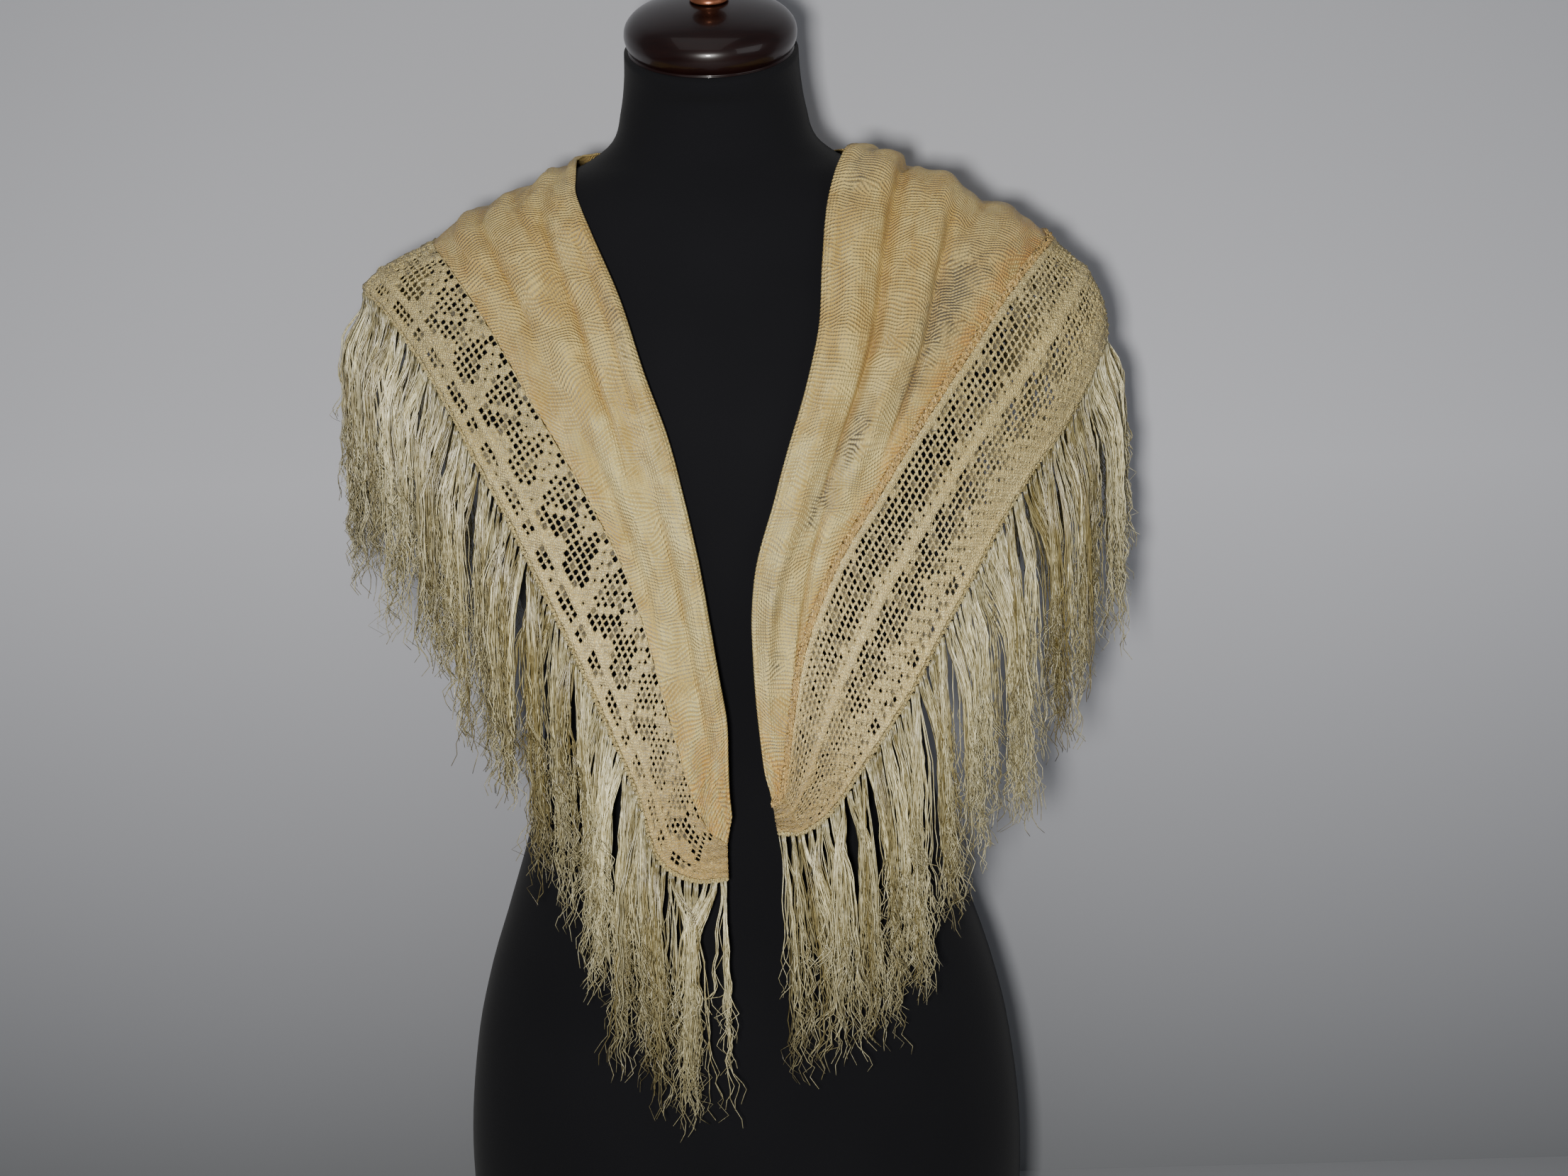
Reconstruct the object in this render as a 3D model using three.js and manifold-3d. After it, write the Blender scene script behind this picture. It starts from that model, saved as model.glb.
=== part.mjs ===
// A fringed knitted-lace shawl, worn on a limbless dress form.
// Millimetres, +Z up, the front of the form towards -Y, the origin in the middle of its flat base.
import * as THREE from "three";
import { mergeVertices } from "three/addons/utils/BufferGeometryUtils.js";
import Module from "manifold-3d";

const wasm = await Module();
wasm.setup();

// Driving sizes
const BODY_WALL = 1.8;
const BORDER_WALL = 1.6;
const EDGING_WALL = 2.6;
const EDGING_WIDTH = 4.5;
const SEAM = 0.3;
const REST_GAP = 0.7;
const FORM_BOTTOM_ROUND = 4;
const CAP_TILT = THREE.MathUtils.degToRad(22);
const SIDE_ROWS = 17;
// Where the fringe of the fronts ends and that of the back begins.
const SHOULDER_ROW = 13;

// The dress form, as level sections: a half width, a depth in front of and behind its middle,
// where that middle lies along Y, and how square the section is.
const FORM = [
  { z: 0, left: 180, right: 180, front: 101, back: 121, middle: 0, square: 2.2 },
  { z: 60, left: 185, right: 185, front: 106, back: 126, middle: 0, square: 2.2 },
  { z: 130, left: 186, right: 186, front: 107, back: 127, middle: 0, square: 2.2 },
  { z: 200, left: 178, right: 178, front: 103, back: 122, middle: 0, square: 2.2 },
  { z: 250, left: 166, right: 166, front: 98, back: 112, middle: 0, square: 2.2 },
  { z: 292, left: 152, right: 152, front: 93, back: 103, middle: 0, square: 2.2 },
  { z: 350, left: 134, right: 134, front: 87, back: 92, middle: 0, square: 2.2 },
  { z: 410, left: 123, right: 123, front: 84, back: 86, middle: 0, square: 2.2 },
  { z: 460, left: 125, right: 125, front: 90, back: 88, middle: 0, square: 2.2 },
  { z: 520, left: 138, right: 138, front: 106, back: 97, middle: 0, square: 2.25 },
  { z: 580, left: 154, right: 154, front: 119, back: 108, middle: 0, square: 2.3 },
  { z: 630, left: 168, right: 168, front: 115, back: 114, middle: 0, square: 2.4 },
  { z: 670, left: 176, right: 176, front: 100, back: 109, middle: 0, square: 2.4 },
  { z: 695, left: 177, right: 177, front: 86, back: 99, middle: 0, square: 2.4 },
  { z: 712, left: 178, right: 178, front: 77, back: 90, middle: 0, square: 2.35 },
  { z: 726, left: 169, right: 169, front: 72, back: 84, middle: 0, square: 2.3 },
  { z: 738, left: 149, right: 149, front: 68, back: 79, middle: 0, square: 2.25 },
  { z: 748, left: 128, right: 128, front: 65, back: 75, middle: 0, square: 2.2 },
  { z: 760, left: 101, right: 101, front: 60, back: 69, middle: 0, square: 2.1 },
  { z: 770, left: 78, right: 78, front: 56, back: 63, middle: 0, square: 2.0 },
  { z: 782, left: 62, right: 62, front: 53, back: 58, middle: -2, square: 2.0 },
  { z: 800, left: 56, right: 56, front: 51, back: 54, middle: -5, square: 2.0 },
  { z: 818, left: 53, right: 53, front: 50, back: 51, middle: -10, square: 2.0 },
  { z: 834, left: 52, right: 52, front: 49, back: 49, middle: -15, square: 2.0 },
];

// The surface that the cloth hangs on: the form's shoulders and chest with a little air, and
// straight falls from the bust, the shoulder blades and the shoulder ends.
const DRAPE = [
  { z: 320, left: 150, right: 152, front: 108, back: 112, middle: 0, square: 2.3 },
  { z: 400, left: 160, right: 162, front: 112, back: 116, middle: 0, square: 2.3 },
  { z: 460, left: 172, right: 178, front: 115, back: 118, middle: 0, square: 2.3 },
  { z: 520, left: 184, right: 196, front: 120, back: 120, middle: 0, square: 2.3 },
  { z: 580, left: 198, right: 216, front: 126, back: 124, middle: 0, square: 2.3 },
  { z: 630, left: 208, right: 230, front: 124, back: 124, middle: 0, square: 2.3 },
  { z: 664, left: 214, right: 237, front: 112, back: 119, middle: 0, square: 2.3 },
  { z: 690, left: 217, right: 230, front: 96, back: 108, middle: 0, square: 2.3 },
  { z: 704, left: 212, right: 218, front: 88, back: 101, middle: 0, square: 2.3 },
  { z: 725, left: 172, right: 190, front: 79, back: 90, middle: 0, square: 2.3 },
  { z: 748, left: 129, right: 147, front: 70, back: 80, middle: 0, square: 2.3 },
  { z: 766, left: 91, right: 110, front: 64, back: 72, middle: 0, square: 2.3 },
  { z: 780, left: 78, right: 84, front: 60, back: 66, middle: 0, square: 2.2 },
  { z: 800, left: 66, right: 67, front: 58, back: 61, middle: 0, square: 2.1 },
];

// Each side of the shawl from its blunt front tip, round the shoulder, to the centre of the back:
// where the neck edge, the seam of body and border, and the knotted outer edge run.
const LEFT_SIDE = [
  { inner: [0, -112, 386], seam: [-3, -110, 369], outer: [-3, -109, 348] },
  { inner: [-1, -112, 402], seam: [-13, -111, 377], outer: [-24, -109, 347] },
  { inner: [-1, -113, 421], seam: [-22, -112, 397], outer: [-43, -107, 359] },
  { inner: [-1, -114, 446], seam: [-29, -112, 425], outer: [-55, -109, 402] },
  { inner: [-5, -116, 476], seam: [-38, -114, 464], outer: [-70, -107, 443] },
  { inner: [-9, -119, 508], seam: [-47, -117, 506], outer: [-86, -107, 484] },
  { inner: [-14, -123, 546], seam: [-58, -120, 544], outer: [-105, -106, 528] },
  { inner: [-21, -126, 584], seam: [-73, -120, 578], outer: [-122, -105, 568] },
  { inner: [-29, -125, 619], seam: [-90, -117, 611], outer: [-139, -100, 602] },
  { inner: [-41, -116, 653], seam: [-110, -108, 645], outer: [-157, -90, 636] },
  { inner: [-55, -92, 694], seam: [-131, -87, 679], outer: [-179, -70, 668] },
  { inner: [-72, -70, 732], seam: [-153, -63, 708], outer: [-202, -42, 692] },
  { inner: [-81, -54, 753], seam: [-170, -29, 724], outer: [-215, -11, 697] },
  { inner: [-80, -30, 763], seam: [-172, 4, 726], outer: [-217, 18, 692] },
  { inner: [-79, 8, 770], seam: [-158, 42, 716], outer: [-207, 53, 672] },
  { inner: [-60, 47, 772], seam: [-126, 80, 676], outer: [-168, 92, 618] },
  { inner: [-32, 63, 773], seam: [-70, 110, 606], outer: [-94, 116, 547] },
  { inner: [0, 68, 773], seam: [0, 122, 552], outer: [0, 120, 492] },
];

const RIGHT_SIDE = [
  { inner: [24, -112, 401], seam: [25, -111, 391], outer: [27, -110, 376] },
  { inner: [21, -112, 413], seam: [31, -111, 398], outer: [42, -109, 376] },
  { inner: [19, -113, 432], seam: [35, -112, 419], outer: [58, -106, 387] },
  { inner: [17, -115, 458], seam: [39, -113, 449], outer: [74, -104, 408] },
  { inner: [16, -117, 485], seam: [45, -115, 483], outer: [91, -101, 432] },
  { inner: [16, -119, 512], seam: [55, -117, 514], outer: [108, -97, 458] },
  { inner: [20, -122, 544], seam: [70, -119, 547], outer: [127, -94, 492] },
  { inner: [30, -126, 577], seam: [88, -119, 576], outer: [147, -89, 528] },
  { inner: [39, -125, 608], seam: [106, -116, 604], outer: [165, -87, 559] },
  { inner: [50, -119, 642], seam: [126, -109, 633], outer: [184, -79, 587] },
  { inner: [59, -103, 677], seam: [147, -96, 660], outer: [203, -62, 611] },
  { inner: [62, -83, 711], seam: [168, -74, 686], outer: [219, -46, 634] },
  { inner: [66, -66, 744], seam: [190, -45, 707], outer: [230, -26, 655] },
  { inner: [74, -34, 768], seam: [202, -6, 714], outer: [235, 12, 667] },
  { inner: [88, 8, 766], seam: [184, 42, 708], outer: [221, 54, 654] },
  { inner: [62, 48, 766], seam: [142, 82, 672], outer: [177, 93, 608] },
  { inner: [32, 63, 770], seam: [76, 111, 604], outer: [97, 116, 545] },
  { inner: [0, 68, 773], seam: [0, 122, 552], outer: [0, 120, 492] },
];

// Lengthwise folds of the body, as raised ridges: the rows between which each runs, where it lies
// across the body there (0 at the neck edge, 1 at the seam), its height, and its half width.
const LEFT_FOLDS = [
  { from: 1, to: 13, startAcross: 0.2, endAcross: 0.1, height: 3.5, spread: 0.11 },
  { from: 5, to: 15, startAcross: 0.6, endAcross: 0.47, height: 3, spread: 0.13 },
  { from: 10, to: 17, startAcross: 0.8, endAcross: 0.72, height: 3, spread: 0.09 },
  { from: 12, to: 17, startAcross: 0.16, endAcross: 0.3, height: 4, spread: 0.08 },
];
const RIGHT_FOLDS = [
  { from: 2, to: 14, startAcross: 0.3, endAcross: 0.13, height: 7, spread: 0.11 },
  { from: 6, to: 15, startAcross: 0.66, endAcross: 0.4, height: 7, spread: 0.1 },
  { from: 9, to: 17, startAcross: 0.9, endAcross: 0.7, height: 5, spread: 0.11 },
  { from: 12, to: 17, startAcross: 0.16, endAcross: 0.3, height: 4, spread: 0.08 },
];

// Dense bands that stand up between the open rows of the lace, across the border.
const BORDER_BANDS = [
  { across: 0, raised: 0.5 },
  { across: 0.12, raised: 0 },
  { across: 0.24, raised: 0.4 },
  { across: 0.42, raised: 0 },
  { across: 0.6, raised: 0.5 },
  { across: 0.8, raised: 0 },
  { across: 1, raised: 0.5 },
];

// The length of the fringe along each side, from the tip to the centre of the back.
const FRINGE_LENGTH = [
  { row: 0, length: 126 },
  { row: 2, length: 140 },
  { row: 5, length: 156 },
  { row: 9, length: 160 },
  { row: 13, length: 146 },
  { row: 17, length: 138 },
];
// The locks leave the edging one after another in `layers` sheets, `layerStep` apart, which they
// reach in the first third of their length. SWAY bends them sideways, RAGGED varies their ends.
const LOCK = { pitch: 7.4, width: 5.8, depth: 2.3, layers: 3, layerStep: 3.1, drift: 9 };
const SWAY = { reach: 3, step: 0.35, turn: 5 };
const RAGGED = [
  { reach: 8, step: 1.9, start: 0 },
  { reach: 5, step: 0.73, start: 1 },
];
// How wide and deep a lock is from its root to its tip, as parts of LOCK's width and depth.
const LOCK_SWELL = [0.5, 1, 0.85, 0.4];

const COLOURS = {
  velvet: { color: 0x0b0b0d, roughness: 0.95, metalness: 0 },
  wood: { color: 0x240b09, roughness: 0.2, metalness: 0 },
  copper: { color: 0x8a4a2c, roughness: 0.35, metalness: 0.6 },
  silk: { color: 0xd7b987, roughness: 0.75, metalness: 0 },
  lace: { color: 0xcbb083, roughness: 0.8, metalness: 0 },
  fringe: { color: 0xc8bea0, roughness: 0.6, metalness: 0 },
};

const group = new THREE.Group();

function addPiece(name, geometry, look) {
  const mesh = new THREE.Mesh(geometry, new THREE.MeshStandardMaterial(COLOURS[look]));
  mesh.name = name;
  group.add(mesh);
  return mesh;
}

// A smooth value between the rows of a table, whose places are in the column `key`.
function sample(table, key, column, at) {
  const last = table.length - 1;
  const place = THREE.MathUtils.clamp(at, table[0][key], table[last][key]);
  let i = 0;
  while (i < last - 1 && table[i + 1][key] <= place) i += 1;
  const slope = (a, b) => (table[b][column] - table[a][column]) / (table[b][key] - table[a][key]);
  const step = table[i + 1][key] - table[i][key];
  const t = (place - table[i][key]) / step;
  const before = i > 0 ? slope(i - 1, i + 1) : slope(i, i + 1);
  const after = i + 2 <= last ? slope(i, i + 2) : slope(i, i + 1);
  return (
    (2 * t ** 3 - 3 * t ** 2 + 1) * table[i][column] +
    (t ** 3 - 2 * t ** 2 + t) * step * before +
    (3 * t ** 2 - 2 * t ** 3) * table[i + 1][column] +
    (t ** 3 - t ** 2) * step * after
  );
}

// Under 0 inside the sections, 0 on them and over 0 outside.
function level(table, p) {
  const at = (column) => sample(table, "z", column, p.z);
  const y = p.y - at("middle");
  const width = p.x < 0 ? at("left") : at("right");
  const depth = y < 0 ? at("front") : at("back");
  const power = at("square");
  return ((Math.abs(p.x) / width) ** power + (Math.abs(y) / depth) ** power) ** (1 / power) - 1;
}

function levelSlope(table, p) {
  const reach = 0.5;
  const along = (x, y, z) =>
    (level(table, p.clone().add(new THREE.Vector3(x, y, z))) -
      level(table, p.clone().sub(new THREE.Vector3(x, y, z)))) /
    (2 * reach);
  return new THREE.Vector3(along(reach, 0, 0), along(0, reach, 0), along(0, 0, reach));
}

// The nearest place that lies `away` from the sections, and the way out there.
function settle(table, point, away = 0) {
  const p = point.clone();
  let out = new THREE.Vector3();
  for (let round = 0; round < 6; round += 1) {
    const slope = levelSlope(table, p);
    const steep = slope.length();
    out = slope.divideScalar(steep);
    p.addScaledVector(out, away - level(table, p) / steep);
  }
  return { p, out };
}

// Lifts a place that lies nearer to the form than `need`, so that the cloth rests on the shoulders.
function seat(p, need) {
  for (let round = 0; round < 3; round += 1) {
    const slope = levelSlope(FORM, p);
    const steep = slope.length();
    const gap = level(FORM, p) / steep;
    if (gap < need) p.addScaledVector(slope, (need - gap) / steep);
  }
}

// A curve through one column of a side's rows.
function edgeCurve(rows, column) {
  const points = rows.map((row) => new THREE.Vector3(...row[column]));
  return new THREE.CatmullRomCurve3(points, false, "centripetal");
}

function sideCurves(rows, folds) {
  return {
    inner: edgeCurve(rows, "inner"),
    seam: edgeCurve(rows, "seam"),
    outer: edgeCurve(rows, "outer"),
    folds,
  };
}

const SIDES = {
  left: sideCurves(LEFT_SIDE, LEFT_FOLDS),
  right: sideCurves(RIGHT_SIDE, RIGHT_FOLDS),
};

function foldHeight(folds, row, across) {
  let height = 0;
  for (const fold of folds) {
    const along = (row - fold.from) / (fold.to - fold.from);
    if (along <= 0 || along > 1) continue;
    const centre = THREE.MathUtils.lerp(fold.startAcross, fold.endAcross, along);
    const fadeIn = THREE.MathUtils.smoothstep(along, 0, 0.3);
    const fadeOut = fold.to === SIDE_ROWS ? 1 : 1 - THREE.MathUtils.smoothstep(along, 0.75, 1);
    height += fold.height * fadeIn * fadeOut * Math.exp(-(((across - centre) / fold.spread) ** 2));
  }
  return height;
}

// The middle of the body's wall at a row of a side, and across from the neck edge to the seam.
function bodyPoint(side, row, across) {
  const inner = side.inner.getPoint(row / SIDE_ROWS);
  const seam = side.seam.getPoint(row / SIDE_ROWS);
  const { p, out } = settle(DRAPE, inner.lerp(seam, across), BODY_WALL / 2);
  seat(p, BODY_WALL / 2 + REST_GAP);
  p.addScaledVector(out, foldHeight(side.folds, row, across));
  return { p, out };
}

// The same for the border, across from the seam (0) to the outer edge (1) and past it.
function borderPoint(side, row, across) {
  const seam = side.seam.getPoint(row / SIDE_ROWS);
  const outer = side.outer.getPoint(row / SIDE_ROWS);
  const { p, out } = settle(DRAPE, seam.clone().lerp(outer, across), BODY_WALL / 2);
  seat(p, BODY_WALL / 2 + REST_GAP);
  const seamLift = foldHeight(side.folds, row, 1) * (1 - THREE.MathUtils.smoothstep(across, 0, 0.35));
  p.addScaledVector(out, seamLift);
  return { p, out, width: seam.distanceTo(outer) };
}

// A closed wall on a grid of middles with their ways out, `raised` more on its outer face.
function wall(grid, thickness) {
  const rows = grid.length;
  const columns = grid[0].length;
  const positions = [];
  for (const face of [1, -1]) {
    for (const line of grid) {
      for (const { p, out, raised = 0 } of line) {
        const reach = face > 0 ? thickness / 2 + raised : -thickness / 2;
        positions.push(...p.clone().addScaledVector(out, reach).toArray());
      }
    }
  }
  const at = (face, r, c) => face * rows * columns + r * columns + c;
  const faces = [];
  const quad = (a, b, c, d) => faces.push(a, b, c, a, c, d);
  for (let r = 0; r < rows - 1; r += 1) {
    for (let c = 0; c < columns - 1; c += 1) {
      quad(at(0, r, c), at(0, r + 1, c), at(0, r + 1, c + 1), at(0, r, c + 1));
      quad(at(1, r, c), at(1, r, c + 1), at(1, r + 1, c + 1), at(1, r + 1, c));
    }
    const end = columns - 1;
    quad(at(0, r, 0), at(1, r, 0), at(1, r + 1, 0), at(0, r + 1, 0));
    quad(at(0, r, end), at(0, r + 1, end), at(1, r + 1, end), at(1, r, end));
  }
  for (let c = 0; c < columns - 1; c += 1) {
    const end = rows - 1;
    quad(at(0, 0, c), at(0, 0, c + 1), at(1, 0, c + 1), at(1, 0, c));
    quad(at(0, end, c), at(1, end, c), at(1, end, c + 1), at(0, end, c + 1));
  }
  return closed(positions, faces);
}

// An indexed geometry whose faces look outwards.
function closed(positions, faces) {
  let volume = 0;
  const corner = (i) => new THREE.Vector3(...positions.slice(3 * i, 3 * i + 3));
  for (let f = 0; f < faces.length; f += 3) {
    volume += corner(faces[f]).dot(corner(faces[f + 1]).cross(corner(faces[f + 2])));
  }
  const index = volume > 0 ? faces : faces.slice().reverse();
  const geometry = new THREE.BufferGeometry();
  geometry.setAttribute("position", new THREE.Float32BufferAttribute(positions, 3));
  geometry.setIndex(index);
  geometry.computeVertexNormals();
  return geometry;
}

function toSolid(geometry) {
  const bare = geometry.clone();
  bare.deleteAttribute("normal");
  bare.deleteAttribute("uv");
  const merged = mergeVertices(bare, 1e-4);
  return new wasm.Manifold(
    new wasm.Mesh({
      numProp: 3,
      vertProperties: new Float32Array(merged.attributes.position.array),
      triVerts: new Uint32Array(merged.index.array),
    }),
  );
}

function fromSolid(solid) {
  const mesh = solid.getMesh();
  const geometry = new THREE.BufferGeometry();
  geometry.setAttribute("position", new THREE.BufferAttribute(mesh.vertProperties, 3));
  geometry.setIndex(new THREE.BufferAttribute(mesh.triVerts, 1));
  geometry.computeVertexNormals();
  return geometry;
}

// The torso: level rings that lean forwards to the cap's slope up the neck.
function buildForm() {
  const around = 36;
  const rings = [];
  const neckStart = 796;
  const top = FORM[FORM.length - 1].z;
  const heights = [
    0, FORM_BOTTOM_ROUND, 70, 140, 195, 240, 285, 330, 380, 430, 480, 530, 580, 625, 662, 686,
    702, 714, 724, 733, 741, 749, 757, 765, 774, 786, 801, 817, top,
  ];
  for (const z of heights) {
    const at = (column) => sample(FORM, "z", column, z);
    const shrink = z === 0 ? FORM_BOTTOM_ROUND : 0;
    const lean = Math.tan(CAP_TILT) * THREE.MathUtils.smoothstep(z, neckStart, top);
    const ring = [];
    for (let k = 0; k < around; k += 1) {
      const angle = (2 * Math.PI * k) / around;
      const depth = Math.sin(angle) < 0 ? at("front") : at("back");
      const swell = 2 / at("square");
      const cos = Math.sign(Math.cos(angle)) * Math.abs(Math.cos(angle)) ** swell;
      const sin = Math.sign(Math.sin(angle)) * Math.abs(Math.sin(angle)) ** swell;
      const y = (depth - shrink) * sin;
      ring.push([(at("left") - shrink) * cos, y + at("middle"), z + lean * y]);
    }
    rings.push(ring);
  }
  const positions = rings.flat(2);
  const faces = [];
  const at = (r, k) => r * around + (k % around);
  for (let r = 0; r < rings.length - 1; r += 1) {
    for (let k = 0; k < around; k += 1) {
      faces.push(at(r, k), at(r, k + 1), at(r + 1, k + 1), at(r, k), at(r + 1, k + 1), at(r + 1, k));
    }
  }
  for (const [r, up] of [[0, false], [rings.length - 1, true]]) {
    for (let k = 1; k < around - 1; k += 1) {
      faces.push(at(r, 0), ...(up ? [at(r, k), at(r, k + 1)] : [at(r, k + 1), at(r, k)]));
    }
  }
  addPiece("dress_form", closed(positions, faces), "velvet");
}

// The turned cap and its finial, on the neck's sloping top.
function buildCap() {
  const top = FORM[FORM.length - 1];
  const foot = new THREE.Vector3(0, top.middle, top.z);
  const up = new THREE.Vector3(0, -Math.sin(CAP_TILT), Math.cos(CAP_TILT));
  const capProfile = [
    [0, 0], [45, 0], [49, 2], [51, 6.5], [51.5, 11], [50, 16], [45, 21],
    [36, 25], [24, 28], [11, 29.5], [0, 29.5],
  ];
  const finialProfile = [
    [0, 29.8], [10.5, 29.8], [11.5, 32], [9, 34.5], [6, 37], [6.5, 40],
    [11, 44], [12.5, 50], [10, 57], [5, 61], [0, 62],
  ];
  const turned = (profile, segments) => {
    const geometry = new THREE.LatheGeometry(profile.map(([x, y]) => new THREE.Vector2(x, y)), segments);
    return fromSolid(toSolid(geometry)).rotateX(Math.PI / 2);
  };
  for (const [name, profile, segments, look] of [
    ["neck_cap", capProfile, 32, "wood"],
    ["cap_finial", finialProfile, 16, "copper"],
  ]) {
    const mesh = addPiece(name, turned(profile, segments), look);
    mesh.rotation.x = CAP_TILT;
    mesh.position.copy(foot).addScaledVector(up, SEAM);
  }
}

// The knitted body: one wall from the left tip round the neck to the right tip.
function buildBody() {
  const cells = 13;
  const step = 0.5;
  const lines = [];
  const addLine = (side, row) => {
    const line = [];
    for (let c = 0; c <= cells; c += 1) line.push(bodyPoint(side, row, c / cells));
    lines.push(line);
  };
  for (let row = 0; row <= SIDE_ROWS; row += step) addLine(SIDES.left, row);
  for (let row = SIDE_ROWS - step; row >= 0; row -= step) addLine(SIDES.right, row);
  addPiece("shawl_body", wall(lines, BODY_WALL), "silk");
}

// The lace border of one side, from the tip to the mitre at the centre of the back.
function buildBorder(sideName) {
  const side = SIDES[sideName];
  const step = 0.5;
  const lines = [];
  for (let row = 0; row <= SIDE_ROWS; row += step) {
    const { width } = borderPoint(side, row, 0);
    const start = SEAM / width;
    const nearMitre = row === SIDE_ROWS ? SEAM / 2 : 0;
    lines.push(
      BORDER_BANDS.map(({ across, raised }) => {
        const point = borderPoint(side, row, THREE.MathUtils.lerp(start, 1, across));
        point.p.x += sideName === "left" ? -nearMitre : nearMitre;
        return { ...point, raised };
      }),
    );
  }
  addPiece(`lace_border_${sideName}`, wall(lines, BORDER_WALL), "lace");
}

// Even steps along the outer edge between two rows, as rows of the side.
function edgeRows(side, from, to, pitch) {
  const fine = 240;
  const rows = [];
  let run = 0;
  let next = pitch / 2;
  let before = borderPoint(side, from, 1).p;
  for (let k = 1; k <= fine; k += 1) {
    const row = THREE.MathUtils.lerp(from, to, k / fine);
    const here = borderPoint(side, row, 1).p;
    run += here.distanceTo(before);
    before = here;
    if (run >= next) {
      rows.push(row);
      next += pitch;
    }
  }
  return rows;
}

// One lock: a three-sided taper that leaves the edging, bends over and hangs.
function lockSolid(root, out, away, index, length) {
  const stations = LOCK_SWELL.length;
  const layer = index % LOCK.layers;
  const outwards = new THREE.Vector3(out.x, out.y, 0).normalize();
  const wide = new THREE.Vector3(-outwards.y, outwards.x, 0);
  const rings = [];
  for (let k = 0; k < stations; k += 1) {
    const t = k / (stations - 1);
    const bend = 1 - (1 - t) ** 3;
    const centre = root.clone();
    centre.addScaledVector(away, LOCK.drift * bend);
    centre.addScaledVector(outwards, layer * LOCK.layerStep * Math.min(1, 3 * t));
    centre.addScaledVector(wide, SWAY.reach * t * Math.sin(index * SWAY.step + SWAY.turn * t));
    centre.z -= length * t;
    const width = (LOCK.width * LOCK_SWELL[k]) / 2;
    const depth = (LOCK.depth * LOCK_SWELL[k]) / 2;
    rings.push([
      centre.clone().addScaledVector(wide, -width).addScaledVector(outwards, -depth),
      centre.clone().addScaledVector(wide, width).addScaledVector(outwards, -depth),
      centre.clone().addScaledVector(outwards, depth),
    ]);
  }
  const positions = rings.flat().flatMap((p) => p.toArray());
  const faces = [0, 2, 1];
  for (let k = 0; k < stations - 1; k += 1) {
    for (let s = 0; s < 3; s += 1) {
      const a = 3 * k + s;
      const b = 3 * k + ((s + 1) % 3);
      faces.push(a, b, b + 3, a, b + 3, a + 3);
    }
  }
  const end = 3 * (stations - 1);
  faces.push(end, end + 1, end + 2);
  return toSolid(closed(positions, faces));
}

// The knotted edging of one stretch with its fringe, as one solid.
function buildFringe(name, side, from, to) {
  const step = 0.5;
  const lines = [];
  const edging = (row, along) => {
    const { width } = borderPoint(side, row, 1);
    return borderPoint(side, row, 1 + (SEAM + EDGING_WIDTH * along) / width);
  };
  const endGap = 0.02;
  for (let row = from; row <= to; row += step) {
    const kept = THREE.MathUtils.clamp(row, from + endGap, to - endGap);
    lines.push([edging(kept, 0), edging(kept, 1)]);
  }
  let solid = toSolid(wall(lines, EDGING_WALL));
  const locks = edgeRows(side, from + 0.1, to - 0.1, LOCK.pitch);
  locks.forEach((row, index) => {
    const { p, out } = edging(row, 0.6);
    const away = p.clone().sub(edging(row, 0).p).normalize();
    let length = sample(FRINGE_LENGTH, "row", "length", row);
    for (const { reach, step: turn, start } of RAGGED) length += reach * Math.sin(index * turn + start);
    solid = solid.add(lockSolid(p, out, away, index, length));
  });
  addPiece(name, fromSolid(solid), "fringe");
}

buildForm();
buildCap();
buildBody();
for (const sideName of ["left", "right"]) {
  buildBorder(sideName);
  buildFringe(`fringe_${sideName}_front`, SIDES[sideName], 0, SHOULDER_ROW);
  buildFringe(`fringe_${sideName}_back`, SIDES[sideName], SHOULDER_ROW, SIDE_ROWS);
}

export default group;
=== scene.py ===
# Looks of the fringed lace shawl on its dress form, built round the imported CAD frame.
# The tables and the surface that the cloth hangs on repeat those of part.mjs, in millimetres;
# Blender gets them in metres.
import math

import bpy
import numpy as np
from mathutils import Matrix, Vector


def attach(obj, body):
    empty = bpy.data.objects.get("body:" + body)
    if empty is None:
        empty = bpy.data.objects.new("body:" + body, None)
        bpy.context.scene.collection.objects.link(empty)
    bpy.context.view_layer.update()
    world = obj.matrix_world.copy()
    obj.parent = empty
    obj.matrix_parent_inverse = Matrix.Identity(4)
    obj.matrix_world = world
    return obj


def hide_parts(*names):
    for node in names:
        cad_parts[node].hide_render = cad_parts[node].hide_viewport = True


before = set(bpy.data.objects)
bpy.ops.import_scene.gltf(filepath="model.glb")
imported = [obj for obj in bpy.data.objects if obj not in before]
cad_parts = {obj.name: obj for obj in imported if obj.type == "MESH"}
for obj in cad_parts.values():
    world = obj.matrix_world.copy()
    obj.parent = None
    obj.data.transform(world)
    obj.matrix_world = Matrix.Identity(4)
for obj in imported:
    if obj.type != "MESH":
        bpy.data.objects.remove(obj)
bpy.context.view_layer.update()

MM = 0.001
SEED = 7
BODY_WALL = 1.8
REST_GAP = 0.7
# How far the middle of a wall keeps off the form.
CLOTH_GAP = BODY_WALL / 2 + REST_GAP
SEAM = 0.3
SIDE_ROWS = 17
CAP_TILT = math.radians(22)
# The thin shells that show in place of the solid walls.
KNIT_SHELL = 0.9
NET_SHELL = 0.8
# The knots of the braid along the edge, the steps at which cords are drawn, the strands that
# cling together in a lock, and how far strands keep off the form.
KNOT_PITCH = 5.4
CORD_STEP = 0.8
LOCK = 4
STRAND_GAP = 1.2

CAMERA = {"lens": 45.0, "sensor": 36.0, "distance": 1.258, "pitch": 13.0, "roll": 1.5}
CAMERA_TARGET = (0.035, 0.0, 0.5)

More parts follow.
